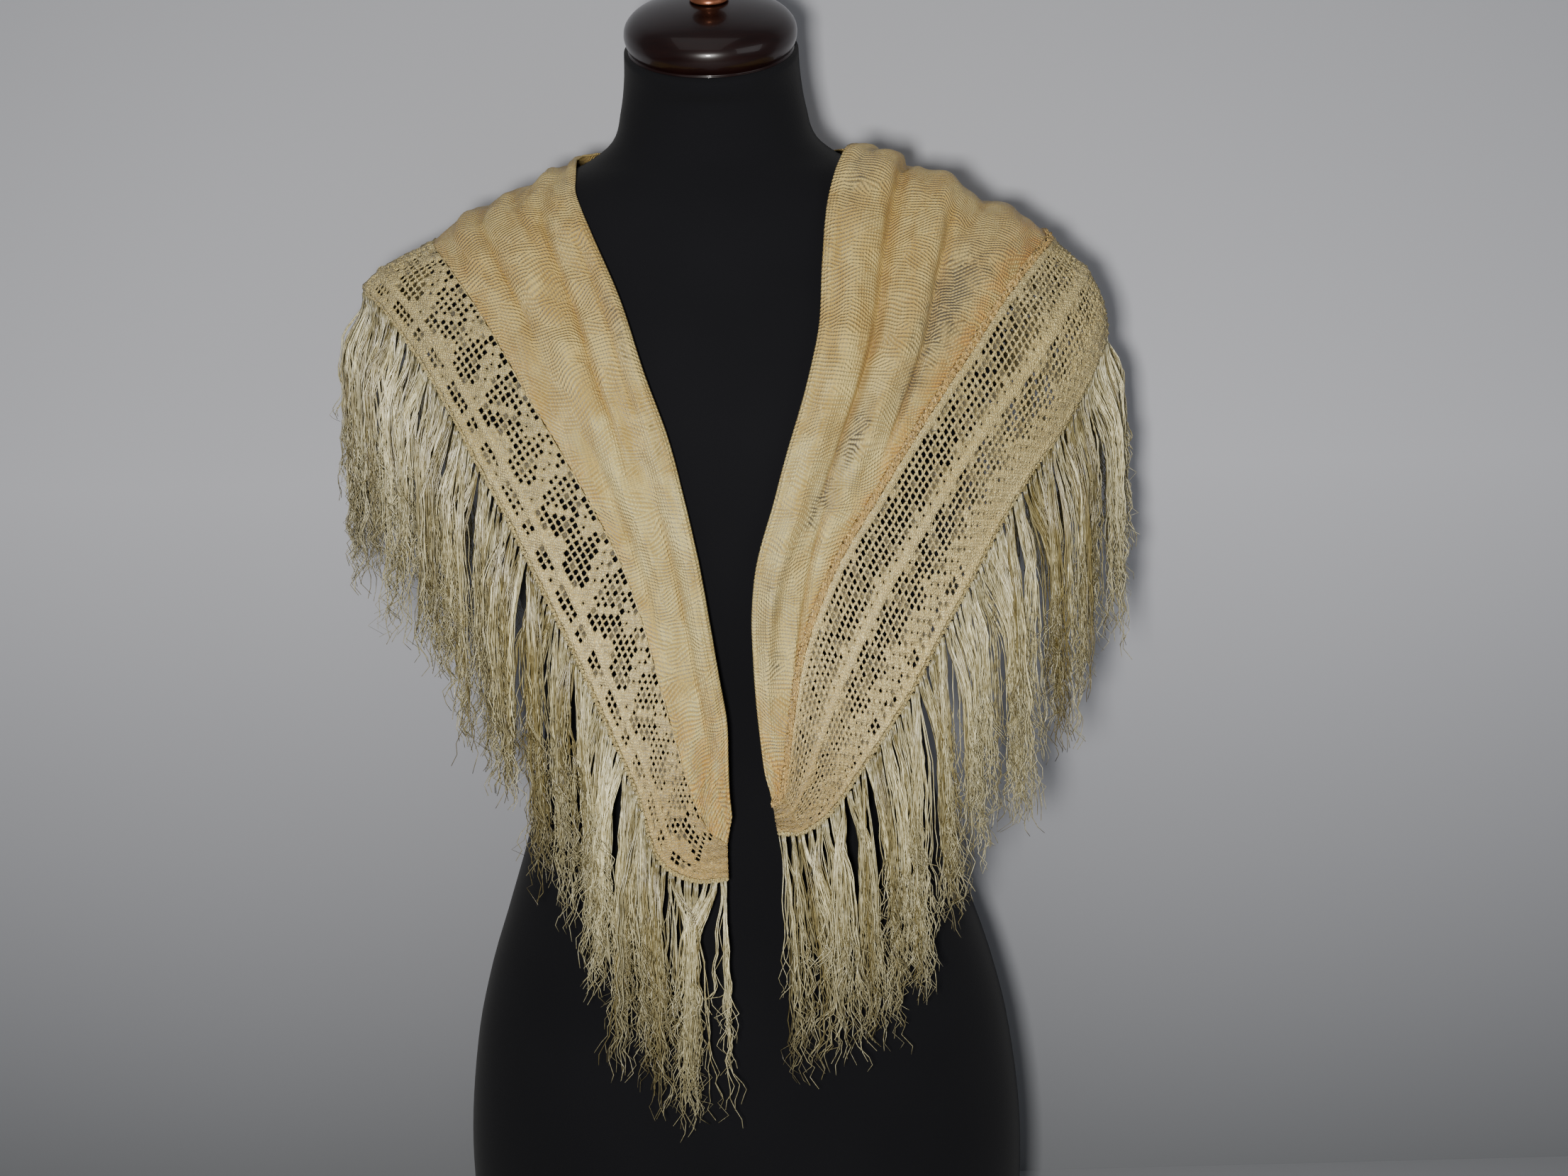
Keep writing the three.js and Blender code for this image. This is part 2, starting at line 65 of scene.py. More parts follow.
SECTION_COLUMNS = ("z", "left", "right", "front", "back", "middle", "square")
FORM = [
    (0, 180, 180, 101, 121, 0, 2.2),
    (60, 185, 185, 106, 126, 0, 2.2),
    (130, 186, 186, 107, 127, 0, 2.2),
    (200, 178, 178, 103, 122, 0, 2.2),
    (250, 166, 166, 98, 112, 0, 2.2),
    (292, 152, 152, 93, 103, 0, 2.2),
    (350, 134, 134, 87, 92, 0, 2.2),
    (410, 123, 123, 84, 86, 0, 2.2),
    (460, 125, 125, 90, 88, 0, 2.2),
    (520, 138, 138, 106, 97, 0, 2.25),
    (580, 154, 154, 119, 108, 0, 2.3),
    (630, 168, 168, 115, 114, 0, 2.4),
    (670, 176, 176, 100, 109, 0, 2.4),
    (695, 177, 177, 86, 99, 0, 2.4),
    (712, 178, 178, 77, 90, 0, 2.35),
    (726, 169, 169, 72, 84, 0, 2.3),
    (738, 149, 149, 68, 79, 0, 2.25),
    (748, 128, 128, 65, 75, 0, 2.2),
    (760, 101, 101, 60, 69, 0, 2.1),
    (770, 78, 78, 56, 63, 0, 2.0),
    (782, 62, 62, 53, 58, -2, 2.0),
    (800, 56, 56, 51, 54, -5, 2.0),
    (818, 53, 53, 50, 51, -10, 2.0),
    (834, 52, 52, 49, 49, -15, 2.0),
]
DRAPE = [
    (320, 150, 152, 108, 112, 0, 2.3),
    (400, 160, 162, 112, 116, 0, 2.3),
    (460, 172, 178, 115, 118, 0, 2.3),
    (520, 184, 196, 120, 120, 0, 2.3),
    (580, 198, 216, 126, 124, 0, 2.3),
    (630, 208, 230, 124, 124, 0, 2.3),
    (664, 214, 237, 112, 119, 0, 2.3),
    (690, 217, 230, 96, 108, 0, 2.3),
    (704, 212, 218, 88, 101, 0, 2.3),
    (725, 172, 190, 79, 90, 0, 2.3),
    (748, 129, 147, 70, 80, 0, 2.3),
    (766, 91, 110, 64, 72, 0, 2.3),
    (780, 78, 84, 60, 66, 0, 2.2),
    (800, 66, 67, 58, 61, 0, 2.1),
]

# Each side from its tip round the shoulder to the centre of the back: neck edge, seam, outer edge.
LEFT_SIDE = [
    ((0, -112, 386), (-3, -110, 369), (-3, -109, 348)),
    ((-1, -112, 402), (-13, -111, 377), (-24, -109, 347)),
    ((-1, -113, 421), (-22, -112, 397), (-43, -107, 359)),
    ((-1, -114, 446), (-29, -112, 425), (-55, -109, 402)),
    ((-5, -116, 476), (-38, -114, 464), (-70, -107, 443)),
    ((-9, -119, 508), (-47, -117, 506), (-86, -107, 484)),
    ((-14, -123, 546), (-58, -120, 544), (-105, -106, 528)),
    ((-21, -126, 584), (-73, -120, 578), (-122, -105, 568)),
    ((-29, -125, 619), (-90, -117, 611), (-139, -100, 602)),
    ((-41, -116, 653), (-110, -108, 645), (-157, -90, 636)),
    ((-55, -92, 694), (-131, -87, 679), (-179, -70, 668)),
    ((-72, -70, 732), (-153, -63, 708), (-202, -42, 692)),
    ((-81, -54, 753), (-170, -29, 724), (-215, -11, 697)),
    ((-80, -30, 763), (-172, 4, 726), (-217, 18, 692)),
    ((-79, 8, 770), (-158, 42, 716), (-207, 53, 672)),
    ((-60, 47, 772), (-126, 80, 676), (-168, 92, 618)),
    ((-32, 63, 773), (-70, 110, 606), (-94, 116, 547)),
    ((0, 68, 773), (0, 122, 552), (0, 120, 492)),
]
RIGHT_SIDE = [
    ((24, -112, 401), (25, -111, 391), (27, -110, 376)),
    ((21, -112, 413), (31, -111, 398), (42, -109, 376)),
    ((19, -113, 432), (35, -112, 419), (58, -106, 387)),
    ((17, -115, 458), (39, -113, 449), (74, -104, 408)),
    ((16, -117, 485), (45, -115, 483), (91, -101, 432)),
    ((16, -119, 512), (55, -117, 514), (108, -97, 458)),
    ((20, -122, 544), (70, -119, 547), (127, -94, 492)),
    ((30, -126, 577), (88, -119, 576), (147, -89, 528)),
    ((39, -125, 608), (106, -116, 604), (165, -87, 559)),
    ((50, -119, 642), (126, -109, 633), (184, -79, 587)),
    ((59, -103, 677), (147, -96, 660), (203, -62, 611)),
    ((62, -83, 711), (168, -74, 686), (219, -46, 634)),
    ((66, -66, 744), (190, -45, 707), (230, -26, 655)),
    ((74, -34, 768), (202, -6, 714), (235, 12, 667)),
    ((88, 8, 766), (184, 42, 708), (221, 54, 654)),
    ((62, 48, 766), (142, 82, 672), (177, 93, 608)),
    ((32, 63, 770), (76, 111, 604), (97, 116, 545)),
    ((0, 68, 773), (0, 122, 552), (0, 120, 492)),
]

# Lengthwise folds: the rows between which each runs, where it lies across the body there,
# its height and its half width.
FOLD_COLUMNS = ("start", "end", "start_across", "end_across", "height", "spread")
LEFT_FOLDS = [
    (1, 13, 0.2, 0.1, 3.5, 0.11),
    (5, 15, 0.6, 0.47, 3, 0.13),
    (10, 17, 0.8, 0.72, 3, 0.09),
    (12, 17, 0.16, 0.3, 4, 0.08),
]
RIGHT_FOLDS = [
    (2, 14, 0.3, 0.13, 7, 0.11),
    (6, 15, 0.66, 0.4, 7, 0.1),
    (9, 17, 0.9, 0.7, 5, 0.11),
    (12, 17, 0.16, 0.3, 4, 0.08),
]
# Finer creases that only the shell has, placed from the photo, with the same columns.
LEFT_CREASES = [
    (7, 12.5, 0.5, 0.22, -3.6, 0.035),
    (2, 7.5, 0.42, 0.3, -2.2, 0.045),
    (9, 14, 0.74, 0.6, -2.6, 0.035),
    (3, 12, 0.06, 0.05, 1.2, 0.035),
    (4.5, 8.5, 0.82, 0.7, -2.0, 0.045),
    (11, 16, 0.86, 0.58, 1.4, 0.035),
    (7.8, 11.2, 0.2, 0.1, -2.2, 0.03),
    (10.5, 13.5, 0.36, 0.42, -1.8, 0.03),
    (5, 8, 0.56, 0.6, 1.2, 0.05),
]
RIGHT_CREASES = [
    (6, 15.5, 0.48, 0.19, -6.5, 0.032),
    (3, 7.6, 1.0, 0.46, -3.6, 0.045),
    (7.4, 13, 0.87, 0.48, -6.0, 0.03),
    (8.5, 12.5, 0.42, 0.36, -1.2, 0.03),
    (3, 9, 0.16, 0.08, 1.2, 0.05),
    (11.5, 15, 0.62, 0.7, -2.0, 0.04),
    (11.8, 15, 0.8, 0.86, -1.6, 0.04),
]

# Patches where the knitting is so open that the dark form shows through: the side, the row and
# place across of the middle, half the length in rows, half the width, and how open it is.
OPEN_COLUMNS = ("side", "row", "across", "rows", "width", "open")
OPEN_PATCHES = [
    ("right", 12.6, 0.1, 0.9, 0.07, 0.7),
    ("right", 10.6, 0.72, 1.5, 0.16, 1.0),
    ("right", 9.3, 0.74, 0.9, 0.12, 0.8),
    ("right", 8.2, 0.5, 0.8, 0.12, 0.9),
    ("right", 7.0, 0.45, 0.9, 0.16, 0.8),
    ("right", 5.6, 0.3, 1.0, 0.2, 0.6),
    ("right", 3.9, 0.45, 0.6, 0.2, 0.7),
    ("left", 12.2, 0.03, 0.8, 0.06, 0.6),
    ("left", 9.6, 0.08, 0.7, 0.07, 0.7),
    ("left", 7.9, 0.1, 0.6, 0.07, 0.5),
    ("left", 6.6, 0.2, 0.8, 0.12, 0.35),
]

# Charts of the lace, one line a row from the knotted outer edge inwards: O is an open mesh,
# o a small one, i a pinhole, and a dot is solid knitting. A chart repeats along the border.
LEFT_CHART = [
    "................",
    "OOo.i.OOO..oO.oo",
    "OOO..ooOO..OO.oO",
    "................",
    "..OOOO.....OOO.i",
    ".OOOOOO..OOOOO..",
    "..OOOOOOoOOOO.oo",
    ".i.OOOOOOOOO.ooo",
    "o.i.OOOooOO.OOoo",
    "oo.i.OOo.i.OOOOo",
    "o.o.i.Oo..i.Oooo",
    "O.OO.OO..OOoO.OO",
]
RIGHT_CHART = [
    "............",
    "o.OO.o.OO.o.",
    ".oOO.oo.O.oo",
    "i.i.i.i.i.i.",
    ".i.o.i.o.i.i",
    "i.ooo.i.ooo.",
    ".oOOoooOOOoo",
    "oOOOOoOOOOOo",
    "OOOOOOOOOOOO",
    "oOOOOooOOOOo",
    "i.oOOo.oOOo.",
    "............",
    ".i.i.i.i.i.i",
    "oooOoo.ooOoo",
    "OOOOOoOOOOOO",
    "OOOOOOOOOOOO",
    "OOOOOOOOOOOO",
    "oOOOOooOOOOo",
    "oooOoo.ooOoo",
    "............",
]
# How wide each kind of mesh opens, against the free width of its cell.
MESH_SIZE = {"O": 0.82, "o": 0.62, "i": 0.36}
# How many of the open meshes are half filled with fine thread.
VEILED = {"left": 0.14, "right": 0.26}
# The chart's eyelets next to the outer edge, its first lines, are worked up to this row alone.
EYELETS_END = {"left": 18, "right": 7}
EYELET_LINES = 3
# No mesh comes nearer the tips than this row.
TIP_ROW = 0.9
NET_PITCH = {"left": 4.2, "right": 3.9}
# How far a step across the border also runs along it, so that the meshes stand in level rows.
NET_SLANT = 0.53

FRINGE_LENGTH = [(0, 138), (2, 148), (5, 158), (9, 160), (13, 146), (17, 138)]
# Each part of the fringe: the rows between which it hangs, and its strands a knot.
FRINGE_PARTS = [("front", 0, 13, 20), ("back", 13, SIDE_ROWS + 1, 12)]
# How much further than elsewhere the fringe stands off at the shoulders.
FRINGE_FLARE = [(0, 0), (6, 1), (10, 5), (13, 6), (15, 4), (17, 1)]


# Surface maths, the same as in part.mjs, on whole arrays of points.


def sample(places, values, at):
    """A smooth value between the rows of a table."""
    places = np.asarray(places, float)
    values = np.asarray(values, float)
    at = np.clip(at, places[0], places[-1])
    i = np.clip(np.searchsorted(places, at, side="right") - 1, 0, len(places) - 2)
    slope = np.empty_like(values)
    slope[1:-1] = (values[2:] - values[:-2]) / (places[2:] - places[:-2])
    slope[0] = (values[1] - values[0]) / (places[1] - places[0])
    slope[-1] = (values[-1] - values[-2]) / (places[-1] - places[-2])
    step = places[i + 1] - places[i]
    t = (at - places[i]) / step
    return (
        (2 * t**3 - 3 * t**2 + 1) * values[i]
        + (t**3 - 2 * t**2 + t) * step * slope[i]
        + (3 * t**2 - 2 * t**3) * values[i + 1]
        + (t**3 - t**2) * step * slope[i + 1]
    )


class Sections:
    """Level sections, as an implicit surface."""

    def __init__(self, rows):
        rows = np.array(rows, float)
        self.columns = dict(zip(SECTION_COLUMNS, rows.T))

    def at(self, name, z):
        return sample(self.columns["z"], self.columns[name], z)

    def level(self, p):
        """Zero on the surface, negative inside."""
        x, y, z = p[..., 0], p[..., 1], p[..., 2]
        y = y - self.at("middle", z)
        width = np.where(x < 0, self.at("left", z), self.at("right", z))
        depth = np.where(y < 0, self.at("front", z), self.at("back", z))
        power = self.at("square", z)
        return ((np.abs(x) / width) ** power + (np.abs(y) / depth) ** power) ** (1 / power) - 1

    def slope(self, p, reach=0.5):
        parts = []
        for axis in np.eye(3) * reach:
            parts.append((self.level(p + axis) - self.level(p - axis)) / (2 * reach))
        return np.stack(parts, -1)

    def gap(self, p):
        """The distance from the surface, nearly, and the way out."""
        slope = self.slope(p)
        steep = np.linalg.norm(slope, axis=-1)
        return self.level(p) / steep, slope / steep[..., None]


FORM_SURFACE = Sections(FORM)
DRAPE_SURFACE = Sections(DRAPE)


def push_clear(surface, p, need):
    """Moves the points that are nearer to a surface than needed."""
    for _ in range(3):
        gap, out = surface.gap(p)
        p = p + out * np.maximum(need - gap, 0)[..., None]
    return p


def lay(p):
    """The cloth's middle laid on the drape and clear of the form, and the ways out there."""
    for _ in range(6):
        gap, out = DRAPE_SURFACE.gap(p)
        p = p + out * (BODY_WALL / 2 - gap)[..., None]
    return push_clear(FORM_SURFACE, p, CLOTH_GAP), out


def smoothstep(x, low, high):
    """0 below low, 1 above high and smooth between."""
    t = np.clip((x - low) / (high - low), 0, 1)
    return t * t * (3 - 2 * t)


def unit(vectors):
    return vectors / np.maximum(np.linalg.norm(vectors, axis=-1, keepdims=True), 1e-9)


def centripetal(points, rows):
    """A centripetal Catmull-Rom curve through points, at fractional rows."""
    points = np.array(points, float)
    first = 2 * points[0] - points[1]
    last = 2 * points[-1] - points[-2]
    padded = np.vstack([first, points, last])
    i = np.clip(np.floor(rows).astype(int), 0, len(points) - 2)
    t = (rows - i)[:, None]
    p0, p1, p2, p3 = (padded[i + k] for k in range(4))
    dt0, dt1, dt2 = (
        np.sqrt(np.linalg.norm(b - a, axis=1))[:, None] for a, b in ((p0, p1), (p1, p2), (p2, p3))
    )
    t1 = ((p1 - p0) / dt0 - (p2 - p0) / (dt0 + dt1) + (p2 - p1) / dt1) * dt1
    t2 = ((p2 - p1) / dt1 - (p3 - p1) / (dt1 + dt2) + (p3 - p2) / dt2) * dt1
    return p1 + t1 * t + (-3 * p1 + 3 * p2 - 2 * t1 - t2) * t**2 + (2 * p1 - 2 * p2 + t1 + t2) * t**3


class Side:
    """One side of the shawl, from its tip to the centre of the back."""

    def __init__(self, name, rows, folds, creases, chart):
        self.name = name
        self.inner, self.seam, self.outer = zip(*rows)
        self.folds = [dict(zip(FOLD_COLUMNS, f)) for f in folds]
        self.creases = [dict(zip(FOLD_COLUMNS, f)) for f in creases]
        self.chart = chart
        self.pitch = NET_PITCH[name]

    def ridge_height(self, ridges, row, across):
        """How far folds or creases lift the cloth."""
        height = np.zeros(np.broadcast(row, across).shape)
        for ridge in ridges:
            along = (row - ridge["start"]) / (ridge["end"] - ridge["start"])
            centre = ridge["start_across"] + (ridge["end_across"] - ridge["start_across"]) * along
            fade = smoothstep(along, 0, 0.3) * (along <= 1.0)
            if ridge["end"] != SIDE_ROWS:
                fade = fade * (1 - smoothstep(along, 0.75, 1))
            hump = np.exp(-(((across - centre) / ridge["spread"]) ** 2))
            height = height + ridge["height"] * fade * hump
        return height

    def body(self, rows, across):
        """Middles of the body's wall on a grid of rows by places across, and the ways out."""
        inner = centripetal(self.inner, rows)[:, None, :]
        seam = centripetal(self.seam, rows)[:, None, :]
        p, out = lay(inner + (seam - inner) * across[None, :, None])
        height = self.ridge_height(self.folds, rows[:, None], across[None, :])
        return p + out * height[..., None], out

    def border(self, rows, across):
        """The same for the border at pairs of row and across, which may pass its outer edge."""
        seam = centripetal(self.seam, rows)
        outer = centripetal(self.outer, rows)
        p, out = lay(seam + (outer - seam) * across[:, None])
        lift = self.ridge_height(self.folds, rows, np.ones_like(rows))
        lift = lift * (1 - smoothstep(across, 0, 0.35))
        return p + out * lift[:, None], out

    def border_width(self, rows):
        return np.linalg.norm(centripetal(self.outer, rows) - centripetal(self.seam, rows), axis=1)


SIDES = [
    Side("left", LEFT_SIDE, LEFT_FOLDS, LEFT_CREASES, LEFT_CHART),
    Side("right", RIGHT_SIDE, RIGHT_FOLDS, RIGHT_CREASES, RIGHT_CHART),
]


# Mesh helpers


def add_object(name, data):
    obj = bpy.data.objects.new(name, data)
    bpy.context.scene.collection.objects.link(obj)
    return obj


def add_mesh(name, points, faces, material, uv=None, tint=None):
    """A mesh object from points in millimetres, with optional uv and tint for each point."""
    mesh = bpy.data.meshes.new(name)
    points = np.asarray(points, float).reshape(-1, 3) * MM
    mesh.from_pydata(points.tolist(), [], [tuple(f) for f in faces])
    if uv is not None:
        corners = np.empty(len(mesh.loops), int)
        mesh.loops.foreach_get("vertex_index", corners)
        layer = mesh.uv_layers.new(name="cloth")
        layer.data.foreach_set("uv", np.asarray(uv, float).reshape(-1, 2)[corners].ravel())
    if tint is not None:
        colour = mesh.color_attributes.new("tint", "FLOAT_COLOR", "POINT")
        rgba = np.ones((len(points), 4))
        rgba[:, :3] = np.asarray(tint, float).reshape(len(points), -1)
        colour.data.foreach_set("color", rgba.ravel())
    mesh.polygons.foreach_set("use_smooth", [True] * len(mesh.polygons))
    mesh.materials.append(material)
    mesh.update()
    obj = add_object(name, mesh)
    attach(obj, "root")
    return obj


def grid_faces(rows, columns, around=False):
    """Quads of a grid of points, closed round its columns if asked."""
    r = np.arange(rows - 1)[:, None]
    c = np.arange(columns if around else columns - 1)[None, :]
    a = r * columns + c
    b = r * columns + (c + 1) % columns
    return np.stack([a, b, b + columns, a + columns], -1).reshape(-1, 4)


def closed_faces(rows, columns):
    """The faces of a closed form from rings of points: its sides and both its ends."""
    faces = grid_faces(rows, columns, around=True).tolist()
    last = (rows - 1) * columns
    return faces + [list(range(columns))[::-1], list(range(last, last + columns))]


def arc_lengths(points):
    """Lengths from the start of a line to each of its points."""
    steps = np.linalg.norm(np.diff(points, axis=0), axis=-1)
    return np.concatenate([[0], np.cumsum(steps)])


def thicken(obj, thickness):
    """Gives a sheet its thickness, half to each side."""
    modifier = obj.modifiers.new("thickness", "SOLIDIFY")
    modifier.thickness = thickness * MM
    modifier.offset = 0


# Materials


class Nodes:
    """A small builder for a material's node tree."""

    def __init__(self, name):
        self.material = bpy.data.materials.new(name)
        self.material.use_nodes = True
        self.tree = self.material.node_tree
        self.shader = self.tree.nodes["Principled BSDF"]
        self.output = self.tree.nodes["Material Output"]

    def add(self, kind, inputs=None, **settings):
        node = self.tree.nodes.new(kind)
        for key, value in settings.items():
            setattr(node, key, value)
        for key, value in (inputs or {}).items():
            self.put(node.inputs[key], value)
        return node

    def put(self, socket, value):
        if isinstance(value, bpy.types.NodeSocket):
            self.tree.links.new(value, socket)
        else:
            socket.default_value = value

    def math(self, operation, a, b=0.0, c=None):
        inputs = {0: a, 1: b} if c is None else {0: a, 1: b, 2: c}
        return self.add("ShaderNodeMath", inputs, operation=operation).outputs[0]

    def plus(self, a, b):
        return self.math("ADD", a, b)

    def times(self, a, b):
        return self.math("MULTIPLY", a, b)

    def cloth(self):
        """The place on the cloth in millimetres, and its parts along and across."""
        uv = self.add("ShaderNodeUVMap", uv_map="cloth").outputs["UV"]
        split = self.add("ShaderNodeSeparateXYZ", {"Vector": uv})
        return uv, split.outputs["X"], split.outputs["Y"]

    def tint(self):
        return self.add("ShaderNodeVertexColor", layer_name="tint").outputs["Color"]

    def position(self):
        return self.add("ShaderNodeNewGeometry").outputs["Position"]

    def ramp(self, factor, stops):
        node = self.add("ShaderNodeValToRGB", {"Fac": factor})
        elements = node.color_ramp.elements
        while len(elements) < len(stops):
            elements.new(0.5)
        for element, (place, colour) in zip(elements, stops):
            element.position = place
            element.color = (*colour, 1.0)
        return node.outputs["Color"]

    def mix(self, factor, a, b, blend="MIX"):
        node = self.add("ShaderNodeMix", data_type="RGBA", blend_type=blend)
        self.put(node.inputs["Factor"], factor)
        for name, colour in (("A", a), ("B", b)):
            self.put(node.inputs[name], (*colour, 1) if isinstance(colour, tuple) else colour)
        return node.outputs["Result"]

    def noise(self, vector, scale, detail=3.0, roughness=0.5):
        inputs = {"Vector": vector, "Scale": scale, "Detail": detail, "Roughness": roughness}
        return self.add("ShaderNodeTexNoise", inputs).outputs["Fac"]

    def wave(self, along, pitch):
        """0 to 1 and back along a length, once every pitch."""
        turn = self.math("SINE", self.times(along, 2 * math.pi / pitch))
        return self.math("MULTIPLY_ADD", turn, 0.5, 0.5)

    def smooth(self, value, low, high):
        inputs = {"Value": value, "From Min": low, "From Max": high}
        node = self.add("ShaderNodeMapRange", inputs, interpolation_type="SMOOTHSTEP")
        return node.outputs["Result"]

    def bump(self, height, strength, distance):
        inputs = {"Height": height, "Strength": strength, "Distance": distance}
        node = self.add("ShaderNodeBump", inputs)
        self.put(self.shader.inputs["Normal"], node.outputs["Normal"])

    def set(self, **values):
        for key, value in values.items():
            self.put(self.shader.inputs[key.replace("_", " ")], value)


def srgb(r, g, b):
    """A colour in 0 to 255 as the linear values that the shader takes."""
    parts = (c / 255 for c in (r, g, b))
    return tuple(((c + 0.055) / 1.055) ** 2.4 if c > 0.04 else c / 12.92 for c in parts)


def knitted_silk():
    """Fine knitting: curved ribs across the cloth in patches, with open zones between.

    The attribute tint holds how open the cloth is (red), how near the seam or a tip (green),
    and painted shade, darker and a deeper yellow: on the shoulders, which face up, and in the
    creases (blue).
    """
    n = Nodes("knitted_silk")
    rib_pitch = 2.3
    stitch_pitch = 1.7
    scallop = 36.0
    uv, along, across = n.cloth()
    marks = n.add("ShaderNodeSeparateColor", {"Color": n.tint()})
    # deep carries the painted shade: on the shoulders and in the troughs of the creases.
    is_open, near_seam, deep = (marks.outputs[name] for name in ("Red", "Green", "Blue"))

    bend = n.times(n.math("SUBTRACT", n.noise(uv, 0.016, 0.0), 0.5), 9.0)
    arc = n.math("SINE", n.times(n.plus(across, bend), math.pi / scallop))
    arc = n.math("ABSOLUTE", arc)
    height = n.math("MULTIPLY_ADD", n.smooth(n.noise(uv, 0.02, 0.0), 0.4, 0.6), 5.0, -2.0)
    place = n.plus(n.plus(along, n.times(arc, height)), bend)
    slope = n.times(across, 0.5)
    zone = n.noise(uv, 0.036, 1.0)
    falls, rises = n.smooth(zone, 0.55, 0.58), n.smooth(zone, 0.45, 0.42)
    level = n.math("SUBTRACT", 1.0, n.plus(falls, rises))
    ribs = n.times(n.wave(place, rib_pitch), level)
    for sign, weight in (("ADD", falls), ("SUBTRACT", rises)):
        slanted = n.math(sign, n.times(place, 0.86), slope)
        ribs = n.plus(ribs, n.times(n.wave(slanted, rib_pitch), weight))
    stitches = n.wave(n.plus(across, n.times(arc, 0.8)), stitch_pitch)
    knit = n.times(ribs, n.plus(n.times(stitches, 0.6), 0.4))
    ribbed = n.smooth(n.noise(uv, 0.07, 1.0), 0.4, 0.54)
    fuzz = n.noise(uv, 1.0, 4.0, 0.75)
    patch = n.noise(uv, 0.04, 3.0)

    # Painted shade and light: the valleys between the ribs darker, their crests lighter.
    lit_crest = n.mix(patch, srgb(252, 224, 136), srgb(255, 244, 170))
    shaded_valley = n.mix(patch, srgb(150, 118, 42), srgb(222, 188, 94))
    ribbed = n.math("MAXIMUM", ribbed, near_seam)
    contrast = n.plus(n.math("MULTIPLY_ADD", near_seam, 0.6, 0.28), ribbed)
    mean = n.math("MULTIPLY_ADD", ribbed, -0.14, 0.8)
    level = n.plus(n.times(n.math("SUBTRACT", knit, 0.35), contrast), mean)
    colour = n.mix(level, shaded_valley, lit_crest)
    colour = n.mix(n.smooth(fuzz, 0.52, 0.72), colour, srgb(255, 244, 200))
    streaks = n.add("ShaderNodeMapping", {"Vector": uv, "Scale": (0.4, 1.0, 1.0)}).outputs["Vector"]
    tone = n.smooth(n.noise(streaks, 0.07, 3.0, 0.6), 0.36, 0.62)
    colour = n.mix(1.0, colour, n.mix(tone, (0.82, 0.74, 0.58), (1.0, 1.0, 1.0)), "MULTIPLY")
    # Painted shade: darker and deeper yellow on the shoulders and in the creases, where deep is
    # high.
    colour = n.mix(deep, colour, n.mix(1.0, colour, (0.74, 0.61, 0.36), "MULTIPLY"))
    warm = n.times(near_seam, n.smooth(n.noise(uv, 0.12, 3.0), 0.36, 0.62))
    colour = n.mix(warm, colour, n.mix(1.0, colour, (1.08, 0.86, 0.58), "MULTIPLY"))
    grey = n.mix(0.34, colour, srgb(176, 162, 128))
    colour = n.mix(n.times(is_open, 0.8), colour, grey)
    ragged = n.plus(is_open, n.math("MULTIPLY_ADD", n.noise(uv, 0.16, 2.0), 1.6, -0.9))
    sunk = n.smooth(n.math("SUBTRACT", 1.0, knit), 0.62, 0.9)
    hole = n.times(sunk, n.smooth(ragged, 0.25, 0.9))
    colour = n.mix(n.times(hole, 0.85), colour, (0.012, 0.012, 0.012))

    n.bump(n.plus(n.times(knit, 1.8), n.times(fuzz, 1.4)), 1.0, 0.001)
    n.set(Base_Color=colour, Roughness=0.46, Sheen_Weight=0.2, Sheen_Roughness=0.4)
    return n.material


def lace_yarn():
    """Knotted yarn, whose stitches follow the lattice of the net."""
    n = Nodes("lace_yarn")
    uv, along, across = n.cloth()
    place = n.position()
    stitch_pitch = 2.0
    wobble = n.times(n.noise(uv, 0.4, 2.0), 3.0)
    one, two = (
        n.wave(n.plus(n.math(sign, along, across), wobble), stitch_pitch)
        for sign in ("ADD", "SUBTRACT")
    )
    knots = n.times(one, two)
    patch = n.noise(place, 30.0, 3.0)
    fuzz = n.noise(place, 1100.0, 3.0, 0.7)
    # Painted shade and light: darker between the knots of the stitches, lighter on them.
    lit_crest = n.mix(patch, srgb(246, 220, 140), srgb(255, 240, 176))
    shaded_valley = n.mix(patch, srgb(124, 100, 42), srgb(176, 148, 80))
    relief = n.plus(knots, n.times(fuzz, 0.5))
    colour = n.mix(n.math("MINIMUM", relief, 1.0), shaded_valley, lit_crest)
    pinhole = n.smooth(n.plus(one, two), 0.42, 0.16)
    pinhole = n.times(pinhole, n.smooth(patch, 0.35, 0.6))
    colour = n.mix(n.times(pinhole, 0.7), colour, (0.03, 0.024, 0.016))
    flecks = n.smooth(n.noise(place, 800.0, 2.0, 0.6), 0.54, 0.66)
    colour = n.mix(n.times(flecks, 0.6), colour, srgb(255, 240, 172))
    # The tint brings the painted light and shade of the lattice's cords.
    colour = n.mix(1.0, colour, n.tint(), "MULTIPLY")
    n.bump(n.plus(knots, n.times(fuzz, 0.8)), 1.0, 0.0013)
    n.set(Base_Color=colour, Roughness=0.45, Sheen_Weight=0.2, Sheen_Roughness=0.4)
    return n.material


def fringe_silk():
    """Glossy silk with streaks along the strands. The attribute tint holds its colour."""
    n = Nodes("fringe_silk")
    drawn = n.add("ShaderNodeMapping", {"Vector": n.position(), "Scale": (1.0, 1.0, 0.14)})
    streak = n.noise(drawn.outputs["Vector"], 900.0, 3.0, 0.6)
    shade = n.mix(n.smooth(streak, 0.36, 0.62), (0.5, 0.46, 0.36), (1.0, 1.0, 1.0))
    colour = n.mix(1.0, n.tint(), shade, "MULTIPLY")
    n.set(Base_Color=colour, Roughness=0.3, Specular_IOR_Level=0.7)
    return n.material


